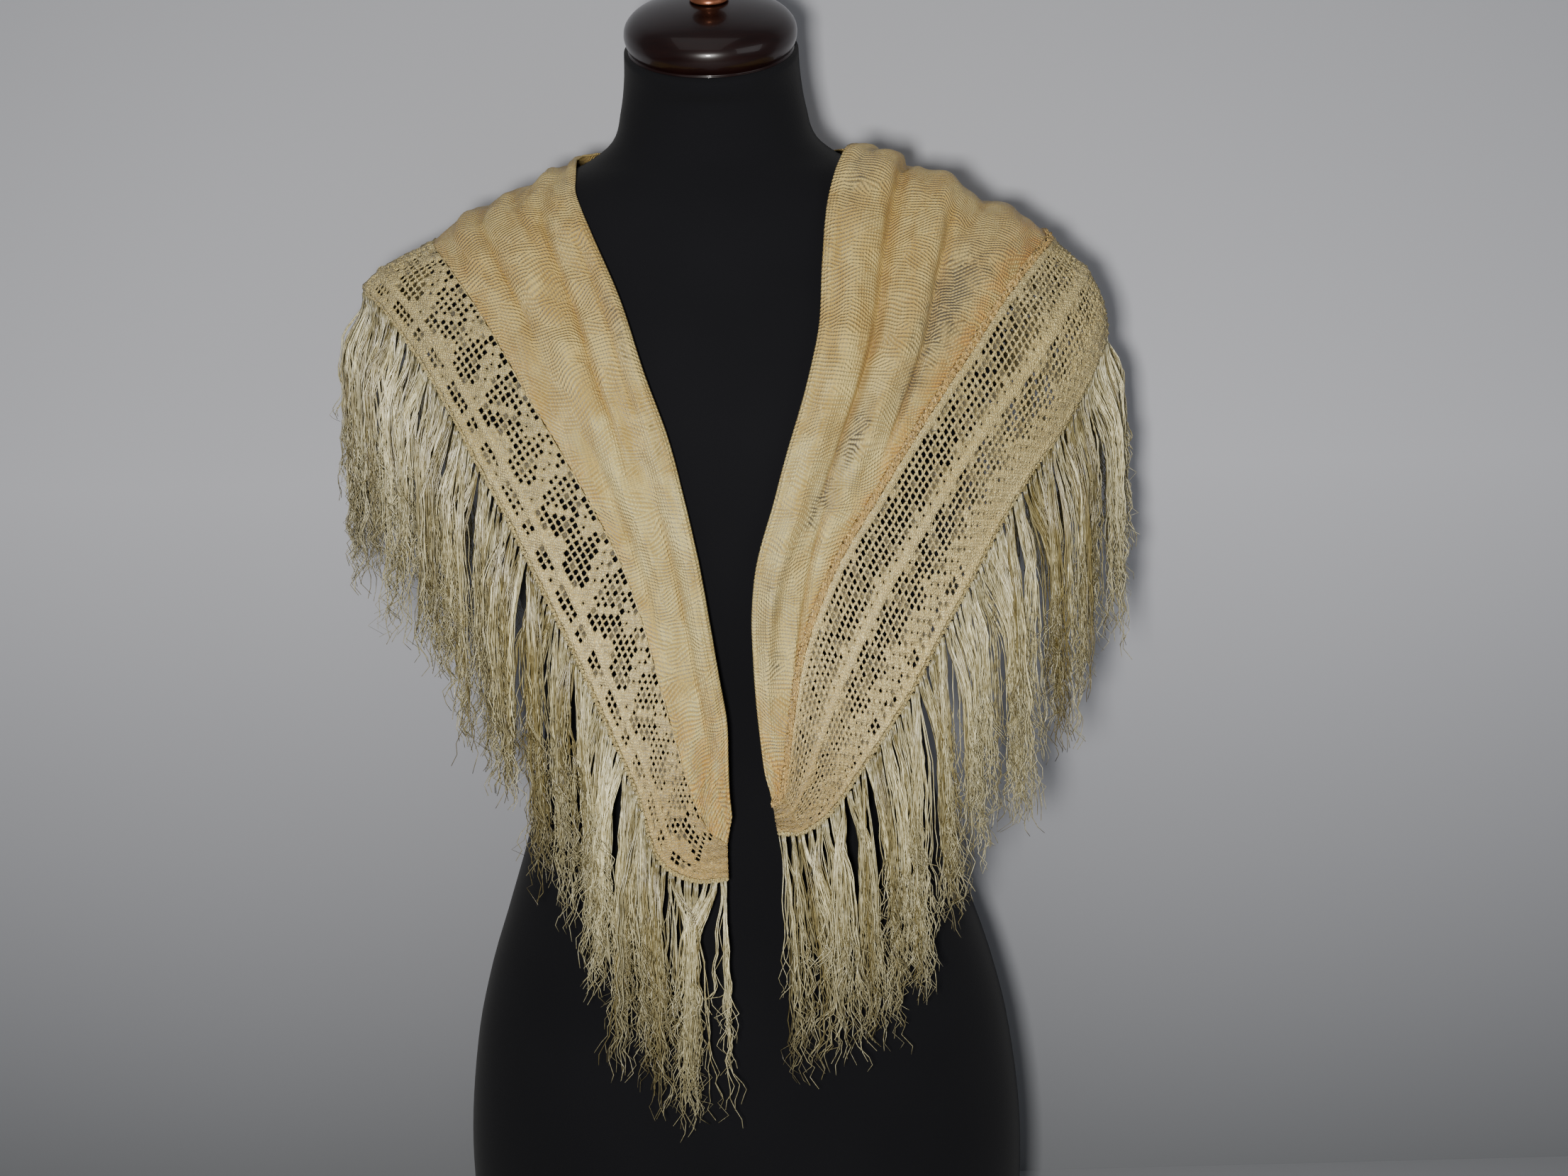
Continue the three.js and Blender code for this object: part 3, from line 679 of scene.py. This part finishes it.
def black_velvet():
    """Black pile that hardly shines."""
    n = Nodes("black_velvet")
    place = n.position()
    nap = n.noise(place, 1400.0, 2.0, 0.6)
    patch = n.noise(place, 9.0, 2.0)
    colour = n.mix(patch, (0.004, 0.004, 0.005), (0.007, 0.007, 0.0085))
    n.bump(nap, 0.4, 0.0004)
    n.set(Base_Color=colour, Roughness=0.95, Specular_IOR_Level=0.12)
    n.set(Sheen_Weight=0.04, Sheen_Roughness=0.5)
    return n.material


def lacquered_wood():
    """Dark wood under gloss, its grain faint."""
    n = Nodes("lacquered_wood")
    place = n.add("ShaderNodeTexCoord").outputs["Object"]
    stretch = n.add("ShaderNodeMapping", {"Vector": place, "Scale": (9.0, 9.0, 60.0)})
    grain = n.noise(stretch.outputs["Vector"], 6.0, 5.0, 0.6)
    colour = n.mix(grain, (0.003, 0.0008, 0.0007), (0.012, 0.0026, 0.0018))
    n.bump(grain, 0.08, 0.0004)
    n.set(Base_Color=colour, Roughness=0.3, Specular_IOR_Level=0.3)
    n.set(Coat_Weight=0.35, Coat_Roughness=0.05)
    return n.material


def copper_finish():
    """Dull copper, worn paler in places."""
    n = Nodes("copper_finish")
    place = n.add("ShaderNodeTexCoord").outputs["Object"]
    wear = n.noise(place, 90.0, 3.0)
    colour = n.mix(wear, (0.16, 0.05, 0.025), (0.36, 0.14, 0.07))
    n.bump(wear, 0.1, 0.0003)
    n.set(Base_Color=colour, Roughness=0.34, Metallic=0.7)
    return n.material


def pale_stage(name, tones):
    """A plain matt surface, its colour ramped by height over its lowest metre from (height in
    metres, colour); a ramp of several tones paints light and shade on it.

    It shows from its front alone, so that the object can be looked at from behind as well.
    """
    n = Nodes(name)
    geometry = n.add("ShaderNodeNewGeometry")
    height = n.add("ShaderNodeSeparateXYZ", {"Vector": geometry.outputs["Position"]}).outputs["Z"]
    n.set(Base_Color=n.ramp(height, tones), Roughness=0.95)
    front, back = n.shader.outputs["BSDF"], n.add("ShaderNodeBsdfTransparent").outputs["BSDF"]
    one_sided = n.add("ShaderNodeMixShader", {0: geometry.outputs["Backfacing"], 1: front, 2: back})
    n.put(n.output.inputs["Surface"], one_sided.outputs["Shader"])
    return n.material


# The dress form


def build_form(material):
    """The velvet torso, its neck cut off along the cap's slope."""
    around = 120
    neck_start = 796
    top = FORM[-1][0]
    bottom_round = 4
    angle = np.linspace(0, 2 * math.pi, around, endpoint=False)
    heights = np.concatenate([[0, 1.2, 4], np.linspace(9, 690, 60), np.linspace(694, top, 44)])
    rings = []
    for z in heights:
        at = {name: float(FORM_SURFACE.at(name, z)) for name in SECTION_COLUMNS[1:]}
        shrink = bottom_round * (1 - math.sqrt(1 - (1 - min(z / bottom_round, 1)) ** 2))
        lean = math.tan(CAP_TILT) * float(smoothstep(z, neck_start, top))
        swell = 2 / at["square"]
        x, y = (np.sign(v) * np.abs(v) ** swell for v in (np.cos(angle), np.sin(angle)))
        x = x * (at["left"] - shrink)
        y = y * (np.where(y < 0, at["front"], at["back"]) - shrink)
        rings.append(np.stack([x, y + at["middle"], z + lean * y], -1))
    faces = closed_faces(len(rings), around)
    form = add_mesh("velvet_form", np.array(rings), faces, material)
    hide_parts("dress_form")


def turned(name, profile, material, segments=72):
    """A solid of revolution on the neck's sloping top, from (radius, height) in millimetres."""
    profile = np.array(profile, float)
    fine = np.linspace(0, len(profile) - 1, 7 * (len(profile) - 1) + 1)
    radius = sample(np.arange(len(profile)), profile[:, 0], fine)
    height = sample(np.arange(len(profile)), profile[:, 1], fine)
    pole = 0.02
    radius[[0, -1]] = pole
    angle = np.linspace(0, 2 * math.pi, segments, endpoint=False)
    x = radius[:, None] * np.cos(angle)
    y = radius[:, None] * np.sin(angle)
    z = np.broadcast_to(height[:, None], x.shape)
    points = np.stack([x, y, z], -1)
    tilt = np.array(Matrix.Rotation(CAP_TILT, 3, "X"))
    seat = np.array([0, FORM[-1][5], FORM[-1][0]]) + tilt @ np.array([0, 0, SEAM])
    points = points @ tilt.T + seat
    return add_mesh(name, points, closed_faces(len(fine), segments), material)


def build_cap(wood, copper):
    """The wooden cap on the neck, and the copper finial on it."""
    cap = turned("turned_cap", [
        (0, 0), (45, 0), (49, 2), (51, 6.5), (51.5, 11), (50, 16), (45, 21), (36, 25), (24, 28),
        (11, 29.5), (0, 29.5),
    ], wood)
    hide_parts("neck_cap")
    finial = turned("turned_finial", [
        (0, 29.8), (10.5, 29.8), (11.5, 32), (9, 34.5), (6, 37), (6.5, 40), (11, 44), (12.5, 50),
        (10, 57), (5, 61), (0, 62),
    ], copper, 48)
    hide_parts("cap_finial")


# The shawl


def openness(side, rows, across):
    """How open the knitting is on a grid of rows by places across, 0 to 1."""
    total = np.zeros((len(rows), len(across)))
    for patch in (dict(zip(OPEN_COLUMNS, p)) for p in OPEN_PATCHES):
        if patch["side"] != side.name:
            continue
        far = ((rows[:, None] - patch["row"]) / patch["rows"]) ** 2
        far = far + ((across[None, :] - patch["across"]) / patch["width"]) ** 2
        total = np.maximum(total, patch["open"] * np.exp(-far))
    return total


def build_body(material):
    """The knitted shell from the left tip round the neck to the right tip."""
    step = 0.1
    edge_roll = 1.3
    across = np.linspace(0, 1, 80)
    grids, outs, opens, crease_shade = [], [], [], []
    # up the left side, and down the right one from the next step after the middle of the back
    for side, rows in ((SIDES[0], np.arange(0, SIDE_ROWS + step / 2, step)),
                       (SIDES[1], np.arange(SIDE_ROWS - step, -step / 2, -step))):
        rows = np.clip(rows, 0, SIDE_ROWS)
        p, out = side.body(rows, across)
        crease = side.ridge_height(side.creases, rows[:, None], across[None, :])
        grids.append(push_clear(FORM_SURFACE, p + out * crease[..., None], CLOTH_GAP))
        outs.append(out)
        opens.append(openness(side, rows, across))
        # Painted shade in the troughs of the creases.
        crease_shade.append(smoothstep(-crease, 0.6, 4.5))
    p = np.concatenate(grids)
    out = np.concatenate(outs)
    along = arc_lengths(p[:, len(across) // 2])[:, None]
    width = np.linalg.norm(np.diff(p, axis=1), axis=-1)
    width = np.concatenate([np.zeros((len(p), 1)), np.cumsum(width, axis=1)], axis=1)
    ripple_share = 0.5 + 0.5 * np.sin(along / 19 + width / 11)
    puff = (
        0.5 * np.sin(along / 4.1 + 1.9 * np.sin(width / 5.2)) * ripple_share
        + 0.4 * np.sin(width / 3.6 + 1.7 * np.sin(along / 23))
        + 0.45 * np.sin((along + width) / 7.9 + 1.3) * np.sin((along - 2 * width) / 17)
    )
    roll = np.exp(-(((across - 0.04) / 0.022) ** 2)) - np.exp(-((across / 0.02) ** 2))
    puff = puff + edge_roll * roll
    seam_share = np.where(np.arange(len(p)) < len(grids[0]), 0.35, 1.0)[:, None]
    near_seam = smoothstep(across, 0.76, 0.95)[None, :] * seam_share
    seam_puff = 0.5 + 0.4 * np.sin(along / 1.1)
    puff = puff + smoothstep(across, 0.9, 0.97)[None, :] * seam_share * seam_puff
    tip = 1 - smoothstep(p[..., 2], 390, 500)
    loops_along = np.sin(along / 1.5 + 2.2 * np.sin(width / 3.1))
    loops_across = np.sin(width / 1.7 + 1.4 * np.sin(along / 4))
    puff = puff + tip * loops_along * loops_across
    p = p + out * puff[..., None]
    uv = np.stack([np.broadcast_to(along, width.shape), width], -1)
    # Painted shade: the shoulders, high up and facing up, and the troughs of the creases.
    deep = 0.6 * smoothstep(p[..., 2], 560, 700) + 0.8 * np.concatenate(crease_shade)
    tint = np.stack([np.concatenate(opens), np.maximum(near_seam, tip), np.minimum(deep, 1)], -1)
    body = add_mesh("knitted_body", p, grid_faces(*p.shape[:2]), material, uv=uv, tint=tint)
    thicken(body, KNIT_SHELL)
    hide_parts("shawl_body")
    return body


def net_grid(side, columns, run, fine_rows):
    """Rows of the side and places across at every corner and half step of the net's lattice."""
    count = len(side.chart)
    half_i = np.arange(2 * columns + 1)
    half_j = np.arange(2 * count + 1)
    start = SEAM / side.border_width(np.array([6.0]))[0]
    across = start + (1 - start) * (1 - half_j / (2 * count))
    part = half_i / (2 * columns)
    upright = smoothstep(part, 0, 0.12) * (1 - smoothstep(part, 0.9, 1))
    shift = NET_SLANT * side.pitch * (half_j[None, :] / 2 - count / 2)
    place = np.clip(part[:, None] * run[-1] + shift * upright[:, None], 0, run[-1])
    return np.interp(place, run, fine_rows), np.broadcast_to(across, place.shape)


def cord_relief(side, shape, rng):
    """How far the points of the lattice stand out, and the painted light and shade on their yarn:
    darker in the low places, lighter on the raised ones.
    """
    raised = 0.25 * rng.standard_normal(shape)
    raised[1::2, 1::2] += 0.8
    raised[::2, ::2] += 0.6
    # Painted shade and light: the low middles of the cell edges darker, the raised corners and cell
    # middles lighter.
    pale = np.full(shape, 0.72)
    pale[1::2, 1::2] = 1.1
    pale[::2, ::2] = 1.0
    # Solid lines stand as raised ridges, painted lighter.
    for j, kinds in enumerate(side.chart):
        if set(kinds) == {"."}:
            raised[:, 2 * j:2 * j + 3] += (0.5, 1.0, 0.5)
            pale[:, 2 * j:2 * j + 3] = 1.1
    # Slanted ridges, raised and painted lighter.
    slanted = (np.arange(shape[0])[:, None] + np.arange(shape[1])) % 6 < 2
    raised += 0.5 * slanted
    pale += 0.14 * slanted
    return raised, pale


def build_border(side, material, rng):
    """The lace: its chart knitted as a lattice with real meshes, rounded cords between them."""
    count = len(side.chart)
    repeat = len(side.chart[0])
    fine_rows = np.linspace(0, SIDE_ROWS, 700)
    line, _ = side.border(fine_rows, np.full(len(fine_rows), 0.6))
    run = arc_lengths(line)
    columns = int(run[-1] / side.pitch)
    rows, across = net_grid(side, columns, run, fine_rows)
    p, out = side.border(rows.ravel(), across.ravel())
    p, out = p.reshape(*rows.shape, 3), out.reshape(*rows.shape, 3)
    p = p + 0.16 * rng.standard_normal(p.shape)
    raised, pale = cord_relief(side, rows.shape, rng)
    slack = 1 + 0.16 * np.sin(np.arange(columns) / 5.3 + 2 * np.sin(np.arange(columns) / 13))
    stride = rows.shape[1]
    lattice = np.stack(np.meshgrid(np.arange(rows.shape[0]), np.arange(stride), indexing="ij"), -1)
    lattice = lattice.reshape(-1, 2) * side.pitch / 2
    around = np.array([(-1, -1), (0, -1), (1, -1), (1, 0), (1, 1), (0, 1), (-1, 1), (-1, 0)])
    faces, ring_points, ring_uv, ring_tint = [], [], [], []
    for i in range(columns):
        for j in range(count):
            ci, cj = 2 * i + 1, 2 * j + 1
            edge = [(ci + a) * stride + cj + b for a, b in around]
            kind = side.chart[j][(i + j // 3) % repeat]
            row = rows[ci, cj]
            past_eyelets = j < EYELET_LINES and row > EYELETS_END[side.name]
            if kind == "." or row < TIP_ROW or past_eyelets:
                middle = ci * stride + cj
                for k in range(0, 8, 2):
                    faces.append((edge[k], edge[k + 1], middle, edge[k - 1]))
                continue
            # The cords round an open mesh get one even tone instead of the painted shade of the
            # lattice.
            if kind != "i":
                pale[2 * i:2 * i + 3, 2 * j:2 * j + 3] = 1.02
            tight = 4 * (1.16 - slack[i])
            lowness = 1 - smoothstep(p[ci, cj, 2], 430, 600)
            veil_share = VEILED[side.name] * (0.6 + 0.6 * tight) + 0.24 * lowness
            veiled = kind != "i" and rng.random() < veil_share
            size = min(MESH_SIZE[kind] * slack[i] * (1 + 0.1 * rng.standard_normal()), 0.92)
            spokes = np.array([p[ci + a, cj + b] - p[ci, cj] for a, b in around])
            reach = np.linalg.norm(spokes, axis=1)
            opened = size * (0.65 * reach.min() + 0.35 * reach) / reach
            sunk = 0.7 if veiled else 0.3
            first = rows.size + len(ring_points)
            ring_points.extend(p[ci, cj] + spokes * opened[:, None] - out[ci, cj] * sunk)
            ring_uv.extend((np.array([ci, cj]) + around * opened[:, None]) * side.pitch / 2)
            ring_tint.extend([0.24 if veiled else 0.9] * 8)
            if veiled:
                faces.append(tuple(range(first, first + 8)))
            for k in range(8):
                after = (k + 1) % 8
                faces.append((edge[k], edge[after], first + after, first + k))
    points = np.concatenate([(p + out * raised[..., None]).reshape(-1, 3), np.array(ring_points)])
    # tint: the painted light and shade of the lattice, and random tone.
    tint = np.concatenate([pale.ravel(), ring_tint]) + 0.1 * rng.standard_normal(len(points))
    low = 1 - smoothstep(points[:, 2], 470, 640)[:, None]
    tip = np.zeros_like(low)
    tip[:rows.size] = 1 - smoothstep(rows.reshape(-1, 1), TIP_ROW, 4.4)
    tint = np.clip(tint, 0.12, 1.1)[:, None] * (1 + low * (1 - tip) * (0.4, 0.4, 0.52))
    tint = tint * (1 - tip * (0.0, 0.13, 0.3))
    border = add_mesh(f"net_border_{side.name}", points, faces, material,
                      uv=np.concatenate([lattice, np.array(ring_uv)]), tint=tint)
    thicken(border, NET_SHELL)
    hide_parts(f"lace_border_{side.name}")
    return border


def tubes(paths, radii, sides):
    """Points and faces of tubes along paths: (tubes, stations, 3), with a radius a station."""
    count, stations = paths.shape[:2]
    ahead = unit(np.gradient(paths, axis=1))
    steep = np.abs(ahead[:, :1, 2:]) > 0.9
    hint = np.where(steep, np.array([1.0, 0.2, 0.0]), np.array([0.0, 0.0, 1.0]))
    u = unit(np.cross(ahead, np.broadcast_to(hint, ahead.shape)))
    v = np.cross(ahead, u)
    angle = np.linspace(0, 2 * math.pi, sides, endpoint=False)
    ring = u[..., None, :] * np.cos(angle)[:, None] + v[..., None, :] * np.sin(angle)[:, None]
    points = paths[..., None, :] + ring * radii[..., None, None]
    one = closed_faces(stations, sides)
    step = stations * sides
    faces = [[corner + tube * step for corner in face] for tube in range(count) for face in one]
    return points.reshape(-1, 3), faces


def edge_places(side, pitch):
    """Rows at even steps along the whole outer edge of a side."""
    fine_rows = np.linspace(0, SIDE_ROWS, 900)
    line, _ = side.border(fine_rows, np.ones(len(fine_rows)))
    run = arc_lengths(line)
    places = np.arange(pitch / 2, run[-1], pitch)
    return np.interp(places, run, fine_rows), places


def wound_cords(name, side, base, offset, lift, pitch, swing, radius, tint, material):
    """Two cords that wind round each other along the border, offset from its seam (base 0) or
    its outer edge (base 1)."""
    rows, places = edge_places(side, CORD_STEP)
    width = side.border_width(rows)
    line, out = side.border(rows, base + offset / width)
    beyond, _ = side.border(rows, base + (offset + 2) / width)
    line = line + lift * out
    away = unit(beyond - line)
    turn = 2 * math.pi * places / pitch
    paths = []
    for phase in (0, math.pi):
        aside = swing * np.cos(turn + phase)[:, None]
        rise = 0.7 * swing * np.sin(2 * (turn + phase))[:, None]
        paths.append(line + away * aside + out * rise)
    paths = np.array(paths)
    points, faces = tubes(paths, np.full(paths.shape[:2], radius), 6)
    tint = np.broadcast_to(np.array(tint, float), (len(points), 3))
    return add_mesh(name, points, faces, material, uv=points[:, :2], tint=tint)


def build_braid(side, material):
    """The braid along the outer edge, which the fringe is knotted into."""
    return wound_cords(f"knotted_braid_{side.name}", side, base=1, offset=SEAM + 1.6, lift=0,
                       pitch=KNOT_PITCH, swing=1.0, radius=0.95, tint=(1, 1, 1), material=material)


def build_seam(side, material):
    """The raised knobbly ridge where the border is joined to the body."""
    return wound_cords(f"seam_ridge_{side.name}", side, base=0, offset=-2.2, lift=1.1, pitch=4.6,
                       swing=2.0, radius=1.3, tint=(1.12, 0.92, 0.68), material=material)


def fringe_knots(side, from_row, to_row):
    """The knots between two rows: places, the cloth's way out, and the ways that silk can go."""
    rows, _ = edge_places(side, KNOT_PITCH)
    rows = rows[(rows >= from_row) & (rows < to_row)]
    width = side.border_width(rows)
    root, out = side.border(rows, 1 + (SEAM + 2.4) / width)
    beyond, _ = side.border(rows, 1 + (SEAM + 5.0) / width)
    outwards = unit(out * np.array([1, 1, 0]))
    wide = np.stack([-outwards[:, 1], outwards[:, 0], np.zeros(len(rows))], -1)
    return {"row": rows, "root": root, "out": out, "away": unit(beyond - root),
            "outwards": outwards, "wide": wide}


def gather_hanks(root, rng):
    """Hanks of about three knots, each with its own way to fall, as values for each knot."""
    hank = np.cumsum(rng.random(len(root)) < 0.32)
    hanks = hank[-1] + 1
    centre = np.stack([np.bincount(hank, root[:, a], hanks) for a in range(3)], -1)
    centre /= np.maximum(np.bincount(hank, minlength=hanks), 1)[:, None]
    ways = {
        "centre": centre,
        "lean": rng.normal(0, 4.0, hanks),
        "sway": rng.normal(0, 2.6, hanks),
        "phase": rng.uniform(0, 2 * math.pi, hanks),
        "depth": rng.uniform(1.0, 9.0, hanks),
        "length": 1 + rng.normal(0, 0.06, hanks),
        "shade": rng.normal(0, 0.7, hanks),
    }
    return {name: values[hank] for name, values in ways.items()}


def share(values):
    """The values of locks, for each of their strands."""
    return np.repeat(values, LOCK, axis=0)


def column(values):
    return np.asarray(values)[:, None]


def strand_paths(knot, hank, long, wisp, free, t, rng):
    """Points along strands, at shares t of their length. Every table has a row for each strand."""
    count = len(long)
    locks = count // LOCK
    held = np.where(free, 0.25, 1.0)
    pull = column(((hank["centre"] - knot["root"]) * knot["wide"]).sum(1))
    gather = held * pull * 1.15 * smoothstep(t, 0.0, 0.3)
    scatter = share(rng.normal(0, 1, (locks, 2))) + rng.normal(0, 0.3, (count, 2))
    airy = column(np.where(knot["row"] < 3, 1.7, 1.0))
    spread = 0.65 + airy * (np.where(free, 2.4, 1.0) * smoothstep(t, 0.05, 0.35) + 1.8 * t**2)
    phase = share(rng.uniform(0, 2 * math.pi, (locks, 2))) + rng.normal(0, 0.45, (count, 2))
    phase = np.where(column(wisp), phase + rng.normal(0, 2.0, (count, 2)), phase)
    loose = np.where(wisp, rng.uniform(1.3, 2.6, count), 1.0)
    crimp = column(share(rng.uniform(0.5, 1.3, locks)) * loose) * (0.35 + 2.6 * t**2.5)
    turns = column(long / share(rng.uniform(15, 30, locks))) * 2 * math.pi * t
    end = smoothstep(t, 0.74, 1.0)
    end = end * column(share(rng.uniform(0, 7, locks)) + rng.uniform(0, 4, count))
    frizz = smoothstep(t, 0.5, 1.0)
    curl = frizz * column(rng.uniform(0.3, 3.4, count))
    curl_turns = 2 * math.pi * t * column(rng.uniform(1.5, 3.4, count))
    curl = curl * np.sin(curl_turns + column(rng.uniform(0, 6.3, count)))
    sideways = (
        gather
        + column(rng.normal(0, 2.4, count)) * frizz
        + column(scatter[:, 0]) * spread
        + held * column(hank["lean"]) * t
        + held * column(hank["sway"]) * np.sin(column(hank["phase"]) + 5 * t) * t
        + crimp * np.sin(turns + column(phase[:, 0]))
        + end * np.cos(column(phase[:, 1]))
        + curl
    )
    flare = sample(*np.transpose(FRINGE_FLARE), knot["row"])
    outward = (
        (held * column(hank["depth"]) + column(flare)) * smoothstep(t, 0, 0.35)
        + column(np.abs(scatter[:, 1])) * spread
        + column(rng.uniform(0, 2.0, count)) * frizz
        + crimp * np.cos(turns + column(phase[:, 1]))
    )
    leave = column(7.5 + 1.2 * scatter[:, 1]) * (1 - (1 - np.minimum(t * 1.6, 1)) ** 3)
    side_step = np.cross(knot["out"], knot["away"]) * column(rng.uniform(-1.0, 1.0, count))
    path = (
        (knot["root"] + side_step)[:, None, :]
        + knot["away"][:, None, :] * leave[..., None]
        + knot["wide"][:, None, :] * sideways[..., None]
        + knot["outwards"][:, None, :] * np.maximum(outward, 0.1)[..., None]
    )
    path[..., 2] -= column(long) * t - end * 0.6
    return push_clear(FORM_SURFACE, path, STRAND_GAP)


def strand_tints(hank, free, t, rng):
    """Colours along strands, from pale to deep gold by lock and hank, with painted shade: darker at
    both ends and on the loose strands between the hanks.
    """
    count = len(free)
    shade = share(rng.normal(-0.3, 1.3, count // LOCK)) + rng.normal(0, 0.5, count)
    gold = 1 / (1 + np.exp(-(shade + hank["shade"])))
    pale, deep = np.array(srgb(255, 247, 202)), np.array(srgb(130, 115, 60))
    own = pale + (deep - pale) * column(gold)
    # Random tone for each strand, and painted shade on the loose strands, which hang nearer the form
    # between the hanks.
    own = own * column(rng.uniform(0.9, 1.14, count) * np.where(free[:, 0], 0.8, 1.0))
    # Painted shade: darker where the strands leave the knots and towards their lower ends, where the
    # light falls off.
    along = 0.7 + 0.3 * smoothstep(t, 0.0, 0.25) - 0.36 * t**2
    return own[:, None, :] * along[..., None]


def build_fringe(side, part, from_row, to_row, per_knot, material, rng):
    """Silk strands that leave the knots outwards, gather into hanks and hang, with loose ends."""
    stations = 18
    sides = 3
    knot = fringe_knots(side, from_row, to_row)
    hank = gather_hanks(knot["root"], rng)
    knot, hank = ({name: np.repeat(values, per_knot, axis=0) for name, values in table.items()}
                  for table in (knot, hank))
    count = len(knot["row"])
    locks = count // LOCK
    t = np.linspace(0, 1, stations)[None, :]
    t = t - 0.06 * np.sin(2 * math.pi * t)
    wisp = rng.random(count) < 0.14
    free = column(share(rng.random(locks) < 0.2))
    long = sample(*np.transpose(FRINGE_LENGTH), knot["row"]) * hank["length"]
    long = long * share(1.12 - 0.56 * rng.random(locks) ** 1.3)
    long = long * (1 - 0.12 * rng.random(count))
    path = strand_paths(knot, hank, long, wisp, free, t, rng)
    radii = (0.45 - 0.03 * t - 0.2 * t**3) * column(np.where(wisp, 0.6, 1.0))
    points, faces = tubes(path, radii, sides)
    tint = np.repeat(strand_tints(hank, free, t, rng)[:, :, None, :], sides, axis=2)
    name = f"silk_fringe_{side.name}_{part}"
    fringe = add_mesh(name, points, faces, material, tint=tint.reshape(-1, 3))
    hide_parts(f"fringe_{side.name}_{part}")
    return fringe


# Stage, light and camera


def build_stage():
    """A pale floor, and a pale wall close behind the form as in the photo."""
    wall_y, wall_top = 0.146, 2.4
    half_width, floor_depth = 2.2, 2.5
    floor_material = pale_stage("pale_floor", [(0, (0.28, 0.285, 0.3))])
    # The wall's tones are painted light and shade: dark at the floor, brightest 0.55 m up where the
    # flash is aimed, dimmer above.
    wall_material = pale_stage("grey_wall_painted_light", [
        (0.0, (0.17, 0.175, 0.185)), (0.3, (0.33, 0.335, 0.36)), (0.55, (0.47, 0.475, 0.51)),
        (1.0, (0.34, 0.345, 0.37)),
    ])
    for name, front, back, top, material in (
        ("floor", -floor_depth, floor_depth, 0, floor_material),
        ("wall", wall_y, wall_y, wall_top, wall_material),
    ):
        corners = [(-half_width, front, 0), (half_width, front, 0),
                   (half_width, back, top), (-half_width, back, top)]
        mesh = bpy.data.meshes.new(name)
        mesh.from_pydata(corners, [], [(0, 1, 2, 3)])
        mesh.materials.append(material)
        obj = add_object(name, mesh)


def add_area(name, place, target, power, size, colour=(1, 1, 1)):
    """A square lamp that faces its target, in metres and watts."""
    light = bpy.data.lights.new(name, "AREA")
    light.energy = power
    light.size = size
    light.color = colour
    obj = add_object(name, light)
    obj.location = place
    obj.rotation_euler = (Vector(target) - Vector(place)).to_track_quat("-Z", "Y").to_euler()


def build_light():
    """A small flash beside the camera, two soft lamps and a dim studio."""
    add_area("flash", (-0.05, -1.24, 0.74), (0.03, 0, 0.56), 18.5, 0.1, (1.0, 0.985, 0.95))
    add_area("right_fill", (1.5, -1.3, 1.2), (0, 0, 0.5), 5, 1.2, (0.96, 0.98, 1.0))
    add_area("top", (-0.2, -0.9, 2.1), (0, 0, 0.5), 3, 1.4)
    world = bpy.data.worlds.new("studio")
    world.use_nodes = True
    background = world.node_tree.nodes["Background"]
    background.inputs["Color"].default_value = (0.85, 0.88, 0.95, 1)
    background.inputs["Strength"].default_value = 0.16
    bpy.context.scene.world = world


def build_camera():
    """The camera of the photo, pitched down and rolled about its line of sight."""
    down = Matrix.Rotation(math.radians(90 - CAMERA["pitch"]), 4, "X")
    roll = Matrix.Rotation(math.radians(-CAMERA["roll"]), 4, "Z")
    back = Matrix.Translation((0, 0, CAMERA["distance"]))
    data = bpy.data.cameras.new("photo_camera")
    data.lens = CAMERA["lens"]
    data.sensor_width = CAMERA["sensor"]
    data.sensor_fit = "AUTO"
    obj = add_object("photo_camera", data)
    obj.matrix_world = Matrix.Translation(CAMERA_TARGET) @ down @ roll @ back
    bpy.context.scene.camera = obj


def main():
    rng = np.random.default_rng(SEED)
    build_camera()
    silk = knitted_silk()
    yarn = lace_yarn()
    strand = fringe_silk()
    build_form(black_velvet())
    build_cap(lacquered_wood(), copper_finish())
    body = build_body(silk)
    trims = []
    for side in SIDES:
        trims += [build_border(side, yarn, rng), build_braid(side, yarn)]
        if side.name == "right":
            trims.append(build_seam(side, yarn))
        trims += [build_fringe(side, *part, strand, rng) for part in FRINGE_PARTS]
    build_stage()
    build_light()


main()
